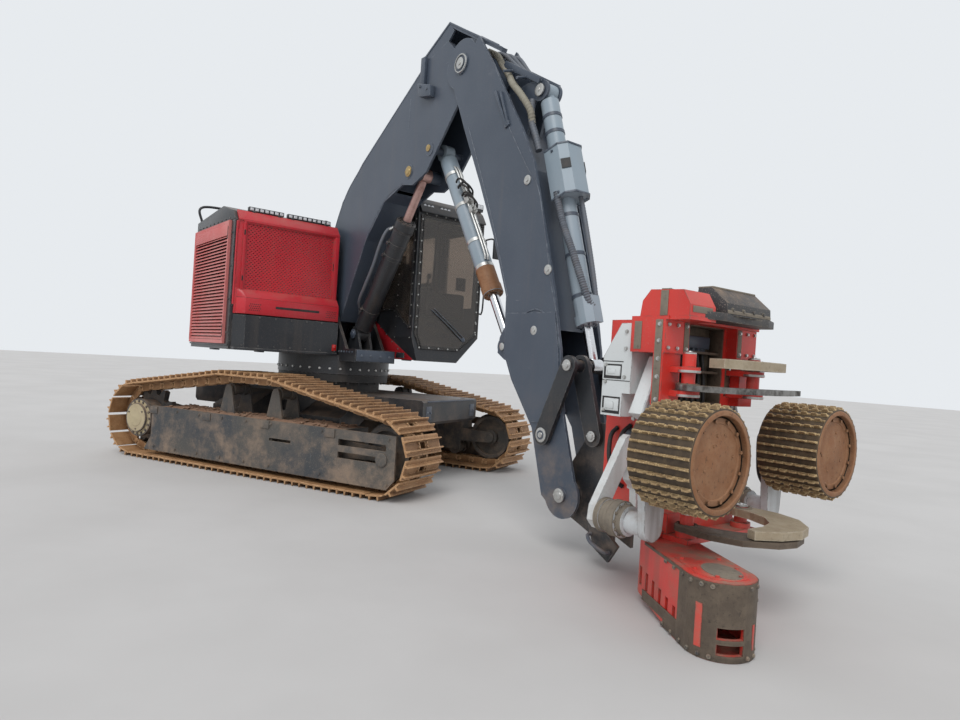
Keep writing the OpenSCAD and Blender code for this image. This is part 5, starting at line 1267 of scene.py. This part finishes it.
# Head: worn plates over the top, strips on the boxes, slots and seams of the covers
top = Piece("head_top_plates", "head", gritty, "red_paint")
top.prism([(5887, -263), (6000, -303), (6152, -393), (6198, -200), (6173, 70), (6203, 331), (6132, 533),
           (5887, 533)], "z", 1917, 1971, 2)
top.prism([(5937, 1960), (6193, 1960), (6188, 2042), (6062, 2153), (5957, 2153)], "y", -183, 373, 3)
top.bolt_grid(6190, (-120, 10, 140, 270), 2000, (1, 0, 0.06), 12, 10)
top.done()
strips = Piece("head_grip_strips", "head", grit, "red_paint")
for s in SIDES:
    strips.block((5905, s * 561 - 3, 1334), (5962, s * 561 + 3, 1900), 1)
    strips.block((5730, s * 561 - 3, 1700), (5790, s * 561 + 3, 1890), 1)
    strips.block((5984, s * 330 - 26, 1690), (5989, s * 330 + 26, 1895), 1)
strips.block((5925, -554, 1928), (5985, -549, 2095), 1)
strips.prism([(5925, 2094), (5985, 2092), (5985, 2107), (5925, 2109)], "y", -548, -268, 1)
strips.block((5950, -176, 2149), (6068, 366, 2162), 3)
strips.prism([(6188, 1972), (6196, 1972), (6196, 1990), (6188, 2000)], "y", -180, 366, 1)
strips.block((6154, -520, 1950), (6159, -300, 1992), 1)
strips.done()
head_bolts = Piece("head_bolts", "head", zinc, "red_paint")
for s in SIDES:
    head_bolts.bolt_grid(5940, s * 563, (1370, 1520, 1640, 1760, 1870), (0, s, 0), 12, 9)
    head_bolts.bolt_grid(5988, (s * 330, s * 430, s * 530), (1715, 1870), AHEAD, 11, 9)
    head_bolts.bolt_grid(5560, s * 301, (700, 950, 1200), (0, s, 0), 14, 10)
    head_bolts.bolt_grid(5640, s * 531, (1500, 1700, 1820), (0, s, 0), 12, 9)
    head_bolts.bolt_grid(5470, s * 531, (1260, 1460, 1580), (0, s, 0), 12, 9)
    head_bolts.bolt_grid((5560, 5700, 5840), s * 470, 481, UP, 14, 10)
head_bolts.bolt_grid(5960, (-500, -400, -310), 2103, (-0.04, 0, 1), 11, 9)
head_bolts.done()
cover_seams = Piece("head_cover_seams", "head", hose_black, "white_paint")
inset = Piece("head_cover_insets", "head", white, "white_paint")
for s in SIDES:
    for z0, z1 in ((1484, 1588), (1236, 1356)):
        cover_seams.block((5452, s * 530 - 2, z0), (5612, s * 530 + 2, z1))
        inset.block((5470, s * 531 - 5, z0 + 20), (5604, s * 531 + 5, z1 - 12), 4)
        inset.block((5490, s * 535 - 4, z0 + 34), (5560, s * 535 + 4, z1 - 40), 3)
    cover_seams.block((5440, s * 530 - 2, 1604), (5625, s * 530 + 2, 1610))
    cover_seams.block((5440, s * 530 - 2, 1470), (5690, s * 530 + 2, 1475))
cover_seams.done()
inset.done()
inside = Piece("head_inside", "head", burnt, "black_paint")
inside.block((5774, -262, 1190), (5779, 262, 1898), 1)
inside.block((5776, -292, 1892), (5898, 292, 1901), 1)
for s in SIDES:
    inside.block((5776, s * 258 - 4, 1200), (5896, s * 258 + 4, 1896), 1)
    inside.block((5890, s * 336 - 40, 1410), (5893, s * 336 + 40, 1670), 1)
for z in (1330, 1560, 1700):
    inside.block((5778, -258, z), (5868, 258, z + 18), 4)
inside.done()
straps = Piece("head_cover_strap", "head", chipped_white, "white_paint")
WIDE_BAND = [(404, 1658), (412, 1640), (590, 1260), (584, 1250), (566, 1242), (384, 1640), (384, 1658)]
NARROW_BAND = [(352, 1652), (362, 1652), (546, 1262), (524, 1240), (514, 1248), (344, 1600)]
for s in SIDES:
    for band, front_x in ((WIDE_BAND, 5860), (NARROW_BAND, 5856)):
        straps.prism([(s * y, z) for y, z in band], "x", 5848, front_x, 2)
    for t in (0.15, 0.4, 0.65, 0.9):
        straps.bolt((5850, s * (372 + 182 * t), 1610 - 360 * t), AHEAD, 13, 9)
straps.done()

# Hubs of the drum arms: bolted rings on the stepped hub in gritty steel, chipped white plates and hoses
HUB_STEPS = [(0, 108), (0, 115), (36, 115), (36, 91), (93, 91), (93, 121), (171, 121), (171, 101),
             (216, 101), (216, 90)]
ARM_HOSE = [(6, 30, 1110), (-40, 34, 1150), (-70, 40, 1100), (-66, 46, 960), (-50, 46, 820), (-6, 40, 740),
            (8, 36, 730)]
ARM_X = DRUM_X0 - 65
for side, name in ((-1, "right"), (1, "left")):
    arm = "roller_arm_" + name
    y, z = side * DRUM_Y, 570
    hubs = Piece("arm_hub_rings_" + name, arm, grit, "dark_steel")
    hubs.ringed((5708, y, z), AHEAD, HUB_STEPS, 44)
    for x, r in ((5708, 112), (5748, 90), (5806, 118), (5862, 118), (5884, 98)):
        hubs.collar((x, y, z), AHEAD, r - 2, r + 5, 14)
    hubs.bolt_ring((5880, y, z), AHEAD, 104, around(12), 9, 10)
    hubs.done()
    plates = Piece("arm_plates_" + name, arm, chipped_white, "white_paint")
    for low in (700, 860):
        plates.block((ARM_X - 10, y - 46, low), (ARM_X + 2, y + 46, low + 90), 5)
    plates.turned((ARM_X - 8, y, DRUM_Z), AHEAD, [(0, 96), (10, 104), (12, 104)], 40)
    plates.bolt_ring((ARM_X - 8, y, DRUM_Z), (-1, 0, 0), 84, around(8), 10, 9)
    plates.done()
    lines = Piece("arm_hoses_" + name, arm, hose_black, "black_paint")
    for k in SIDES:
        lines.hose([(ARM_X + dx, y + k * dy, h) for dx, dy, h in ARM_HOSE], 15, 8, step=20)
    lines.done(50)

# Hoses and blocks inside the head, behind its stem
CORE_YS = (-190, -120, -50, 20, 90, 160)
SIDE_HOSES = (
    [(5860, 300, 1500), (5866, 340, 1440), (5850, 352, 1300), (5830, 330, 1150), (5800, 304, 1060)],
    [(5420, 302, 1120), (5400, 350, 1060), (5420, 380, 900), (5460, 352, 740), (5500, 303, 690)],
    [(5540, 302, 1150), (5520, 372, 1080), (5530, 400, 930), (5560, 360, 800), (5600, 303, 760)])
core = Piece("head_hoses", "head", hose_black, "black_paint")
for i, y in enumerate(CORE_YS):
    core.hose([(5778, y, 620 + 20 * i), (5806, y + 6, 760), (5812, y - 8, 980), (5808, y + 10, 1220),
               (5816, y, 1450), (5800, y * 0.9, 1680), (5776, y * 0.9, 1800)], 15, 8, step=26)
for s in SIDES:
    for path in SIDE_HOSES:
        core.hose([(x, s * y, z) for x, y, z in path], 17, 8, step=22)
core.done(50)
blocks = Piece("head_valve_blocks", "head", steel, "black_paint")
blocks.block((5774, -210, 560), (5830, 210, 660), 8)
blocks.block((5774, -200, 1740), (5826, 200, 1830), 8)
for y in CORE_YS:
    blocks.bar((5800, y, 655), (5800, y, 690), 20, 6)
    blocks.bar((5796, y * 0.9, 1706), (5796, y * 0.9, 1745), 20, 6)
for y_from, y_to in ((-314, -290), (290, 328)):
    blocks.block((5500, y_from, 980), (5620, y_to, 1130), 6)
blocks.done()
feed = Piece("stem_feed_wheel", "head", stud, "track_steel")
feed.turned((5850, -60, 1060), LEFT, [(0, 64), (8, 74), (112, 74), (120, 64)], 28)
for a in around(14):
    x, z = 5850 + 72 * math.cos(a), 1060 + 72 * math.sin(a)
    feed.block((x - 7, -50, z - 7), (x + 7, 50, z + 7), 2)
feed.done()

# Saw box: worn sheet round the nose, its bolts, worn patch and stripe on the top
SAW_ROOT, SAW_NOSE = (6000, -400), (6600, -740)
ax, ay = SAW_NOSE[0] - SAW_ROOT[0], SAW_NOSE[1] - SAW_ROOT[1]
NOSE = math.hypot(ax, ay)
along = Matrix.Translation((*SAW_ROOT, 0)) @ Matrix.Rotation(math.atan2(ay, ax), 4, "Z")
turn3 = along.to_3x3()
nose = Piece("saw_nose_sheet", "head", burnt, "red_paint")
for a0, a1, z0, z1 in ((-90, -30, 3, 426), (-30, 14, 3, 38), (-30, 14, 97, 123), (-30, 14, 187, 426),
                       (14, 62, 3, 426), (62, 90, 3, 312), (62, 90, 360, 426)):
    nose.prism(arc_plan(194.5, 200, a0, a1, 8, NOSE), "z", z0, z1, 0, along)
# Flat sheets behind the nose: corners as (x from the nose, y), then bottom and top
for outline, z0, z1 in (([(-110, -193), (0, -194.5), (0, -200), (-110, -198)], 3, 426),
                        ([(-640, -186), (-100, -193), (-100, -198), (-640, -191)], 52, 118),
                        ([(-300, -190), (-100, -193), (-100, -198), (-300, -195)], 8, 60),
                        ([(-640, -186), (-100, -193), (-100, -199), (-640, -192)], 410, 427),
                        ([(-110, 193), (0, 194.5), (0, 200), (-110, 198)], 3, 312),
                        ([(-110, 193), (0, 194.5), (0, 200), (-110, 198)], 360, 426)):
    nose.prism([(NOSE + x, y) for x, y in outline], "z", z0, z1, 0, along)
nose.done(30)
nose_bolts = Piece("saw_nose_bolts", "head", gritty, "red_paint")
for degrees in (-80, -58, -40, 24, 44, 74):
    a = math.radians(degrees)
    for z in (24, 300 if degrees > 60 else 404):
        p = along @ Vector((NOSE + 199 * math.cos(a), 199 * math.sin(a), z))
        nose_bolts.bolt(p, turn3 @ Vector((math.cos(a), math.sin(a), 0)), 11, 8)
for x in (-300, -180, -60):
    for z in (24, 404):
        nose_bolts.bolt(along @ Vector((NOSE + x, -199 - 0.013 * x, z)), turn3 @ Vector(RIGHT), 11, 8)
nose_bolts.done()
stripe = Piece("saw_nose_stripe", "head", head_red, "red_paint")
for a0, a1, z0, z1 in ((-66, -54, 60, 300), (34, 40, 60, 200)):
    stripe.prism(arc_plan(199, 202.5, a0, a1, 3, NOSE), "z", z0, z1, 0, along)
stripe.done()
patch = Piece("saw_top_patch", "head", grit, "red_paint")
oval = [(NOSE - 20 + 150 * math.cos(a), 16 + 104 * math.sin(a)) for a in around(28)]
patch.prism(oval, "z", 433, 437, 1, along)
patch.done()
worn = Piece("saw_top_sheet", "head", head_red, "red_paint")
outline = [(-290, -150), (20, -156), (110, -110), (150, 0), (110, 110), (20, 156), (-290, 150)]
worn.prism([(NOSE + x, y) for x, y in outline], "z", 427, 434, 2, along)
for x, y in ((-250, 120), (-60, 130), (90, 70)):
    for s in SIDES:
        worn.bolt(along @ Vector((NOSE + x, s * y, 434)), UP, 12, 9)
worn.done()
# Painted shade: black blocks stand for the shade inside the slots in the saw box's side.
mouths = Piece("saw_box_slots", "head", hose_black, "black_paint")
for k in range(5):
    mouths.block((-70 + k * 96, 176, 236 - k * 10), (-40 + k * 96, 188.5 + k * 1.4, 300 - k * 4), 0, along)
mouths.done()

# Knives: boss rings and their pins' caps
KNIFE_CAP = [(-2, 44), (10, 44), (14, 38), (14, 18), (20, 16)]
ROOT_PLATE = [(-50, 50), (56, 88), (190, 72), (262, 10), (236, -70), (130, -92), (0, -74), (-56, -46)]
bosses = Piece("knife_pin_caps", "head", zinc, "dark_steel")
for s in SIDES:
    bosses.turned((6070, s * 400, 1682), UP, KNIFE_CAP, 28)
    bosses.turned((6080, s * 330, 615), UP, KNIFE_CAP, 28)
    for z in (1398, 1559):
        bosses.collar((6070, s * 400, z), UP, 73, 80, 16, 32)
bosses.done()
for body, x, y, top_z, look in (
        ("upper_knife_right", 6070, -400, 1478, burnt), ("upper_knife_left", 6070, 400, 1662, grit),
        ("lower_knife_right", 6080, -330, 543, burnt), ("lower_knife_left", 6080, 330, 605, grit)):
    ring = Piece(body + "_boss", body, look, "knife_steel")
    if y < 0:
        ring.prism([(x + dx, y - dy) for dx, dy in ROOT_PLATE], "z", top_z - 2, top_z + 1.5, 1)
    ring.ringed((x, y, top_z - 1), UP, [(0, 52), (0, 78), (9, 74), (9, 54)], 40)
    ring.bolt_ring((x, y, top_z + 7), UP, 64, around(6), 6, 5, washer=False)
    ring.done()

# Bracket and links: pins' caps and the hook bar
link_caps = Piece("link_pin_caps", "idler_links", zinc, "dark_steel")
for s in SIDES:
    pin_cap(link_caps, TILT_PIN, s * 324, 46, s)
    link_caps.turned((IDLER_PIN[0], s * 312, IDLER_PIN[1]), (0, s, 0),
                     [(0, 62), (9, 62), (12, 54), (12, 26), (20, 22)], 28)
link_caps.done()
bracket_caps = Piece("bracket_pin_caps", "head", zinc, "dark_steel")
for s in SIDES:
    pin_cap(bracket_caps, BRACKET_PIN, s * 182, 44, s)
    bracket_caps.bolt_grid(5250, s * 131, (250, 620, 1000), (0, s, 0), 18, 12)
    bracket_caps.bolt_grid(5262, s * 205, (360, 560, 780, 1000), (-1, 0, 0), 16, 12)
bracket_caps.done()
hook = Piece("bracket_hook_bar", "head", steel, "dark_steel")
hook.hose([(5150, -225, 250), (5150, -262, 240), (5200, -280, 200), (5290, -280, 170), (5340, -262, 150),
           (5345, -225, 148)], 15, 10, step=18)
hook.done()


# Seat: crowned cushions with sewn channels and piping, on a shell and a pedestal
CUSHION_CUTS = 22
BORDER = 0.52


def dip(offset, width):
    return math.exp(-(offset / width) ** 2)


def cushion(piece, a, b, axis, matrix, channels=0):
    """A crowned pad between two corners, thin along an axis, whose sides pull in between its corners."""
    seam_places = [2 * (k + 1) / (channels + 1) - 1 for k in range(channels)]
    low, high = Vector(a), Vector(b)
    mid, size = (low + high) / 2, (high - low) / 2
    first, second = [k for k in range(3) if k != axis]
    bm = bmesh.new()
    bmesh.ops.create_cube(bm, size=2)
    bmesh.ops.subdivide_edges(bm, edges=bm.edges[:], cuts=CUSHION_CUTS, use_grid_fill=True)
    for v in bm.verts:
        u, w, t = v.co[first], v.co[second], v.co[axis]
        crown = ((1 - abs(u) ** 5) * (1 - abs(w) ** 5)) ** 0.5
        groove = 0.0
        if channels and abs(t) > 0.99:
            groove = 0.10 * dip(abs(w) - BORDER, 0.035)
            if abs(w) < BORDER:
                groove += 0.06 * sum(dip(u - place, 0.03) for place in seam_places)
        v.co[first] = mid[first] + size[first] * u * (1 - 0.035 * (1 - w * w)) * (1 - 0.02 * t * t)
        v.co[second] = mid[second] + size[second] * w * (1 - 0.035 * (1 - u * u)) * (1 - 0.02 * t * t)
        v.co[axis] = mid[axis] + size[axis] * t * (0.62 + 0.38 * crown - groove)
    piece.take(bm, matrix)


SEAT = Matrix.Translation((100, 865, 2060 + 60))
LEAN = SEAT @ Matrix.Rotation(math.radians(-6), 4, "Y")
pads = Piece("seat_cushions", "house", seat_cloth, "seat_cloth")
cushion(pads, (20, -245, 285), (498, 245, 398), 2, SEAT, 3)
cushion(pads, (-64, -232, 400), (18, 232, 780), 0, LEAN, 3)
cushion(pads, (-70, -150, 800), (10, 150, 955), 0, LEAN)
for s in SIDES:
    cushion(pads, (46, s * 305 - 36, 462), (516, s * 305 + 36, 518), 2, SEAT)
pads_obj = pads.done(60, "seat")
seat_frame = Piece("seat_shell", "house", black, "black_paint")
seat_frame.block((6, -248, 262), (500, 248, 300), 12, SEAT)
seat_frame.block((-88, -238, 322), (-58, 238, 955), 12, LEAN)
for s in SIDES:
    seat_frame.block((46, s * 305 - 34, 402), (516, s * 305 + 34, 464), 10, SEAT)
    seat_frame.block((104, s * 291 - 49, 302), (196, s * 291 + 49, 404), 8, SEAT)
for k in range(7):
    inward = 2 * k
    seat_frame.block((66 + inward, -116 + inward, 4 + k * 36), (396 - inward, 116 - inward, 30 + k * 36),
                     8, SEAT)
seat_frame.block((80, -100, 0), (380, 100, 262), 6, SEAT)
seat_frame.done()
stitches = Piece("seat_piping", "house", hose_black, "seat_cloth")
for matrix, loop in ((SEAT, [(30, -238, 342), (490, -238, 342), (492, 238, 342), (30, 238, 342),
                             (28, -238, 342)]),
                     (LEAN, [(-22, -226, 404), (-22, 226, 404), (-22, 226, 776), (-22, -226, 776),
                             (-22, -226, 404)])):
    for p, q in zip(loop, loop[1:]):
        run = [Vector(p).lerp(Vector(q), t) for t in (0.02, 0.35, 0.65, 0.98)]
        stitches.hose(placed(matrix, run), 5, 8, step=14)
stitches.done()


# Floor, sky and lamp
FLOOR_HALF = 60
corners = [(x * FLOOR_HALF, y * FLOOR_HALF, 0) for x, y in ((-1, -1), (1, -1), (1, 1), (-1, 1))]
floor_mesh = bpy.data.meshes.new("floor")
floor_mesh.from_pydata(corners, [], [(0, 1, 2, 3)])
floor = bpy.data.objects.new("floor", floor_mesh)
bpy.context.scene.collection.objects.link(floor)
floor_look = Look("floor")
cloudy = floor_look.between(floor_look.noise(0.6, 4), 0.3, 0.7)
floor_look.set(Base_Color=floor_look.mix(cloudy, (0.60, 0.585, 0.57), (0.56, 0.545, 0.53)), Roughness=0.85)
floor_mesh.materials.append(floor_look.mat)

# The sky lights the part with one colour, and camera, mirrors and glass see another
world = bpy.data.worlds.new("studio")
bpy.context.scene.world = world
world.use_nodes = True
nodes, links = world.node_tree.nodes, world.node_tree.links
light = nodes["Background"]
light.inputs["Color"].default_value = (0.93, 0.96, 1.0, 1)
light.inputs["Strength"].default_value = 0.72
seen = nodes.new("ShaderNodeBackground")
seen.inputs["Color"].default_value = (0.80, 0.83, 0.86, 1)
rays = nodes.new("ShaderNodeLightPath")
seen_by = rays.outputs["Is Camera Ray"]
for kind in ("Is Glossy Ray", "Is Transmission Ray"):
    either = nodes.new("ShaderNodeMath")
    either.operation = "MAXIMUM"
    links.new(seen_by, either.inputs[0])
    links.new(rays.outputs[kind], either.inputs[1])
    seen_by = either.outputs[0]
choose = nodes.new("ShaderNodeMixShader")
for socket, source in zip(choose.inputs, (seen_by, light.outputs[0], seen.outputs[0])):
    links.new(source, socket)
links.new(choose.outputs[0], nodes["World Output"].inputs["Surface"])

sun = bpy.data.objects.new("sun", bpy.data.lights.new("sun", "SUN"))
sun.data.energy = 1.3
sun.data.angle = math.radians(35)
sun.rotation_euler = (math.radians(38), math.radians(14), math.radians(20))
bpy.context.scene.collection.objects.link(sun)

bpy.context.scene.view_settings.view_transform = "Standard"
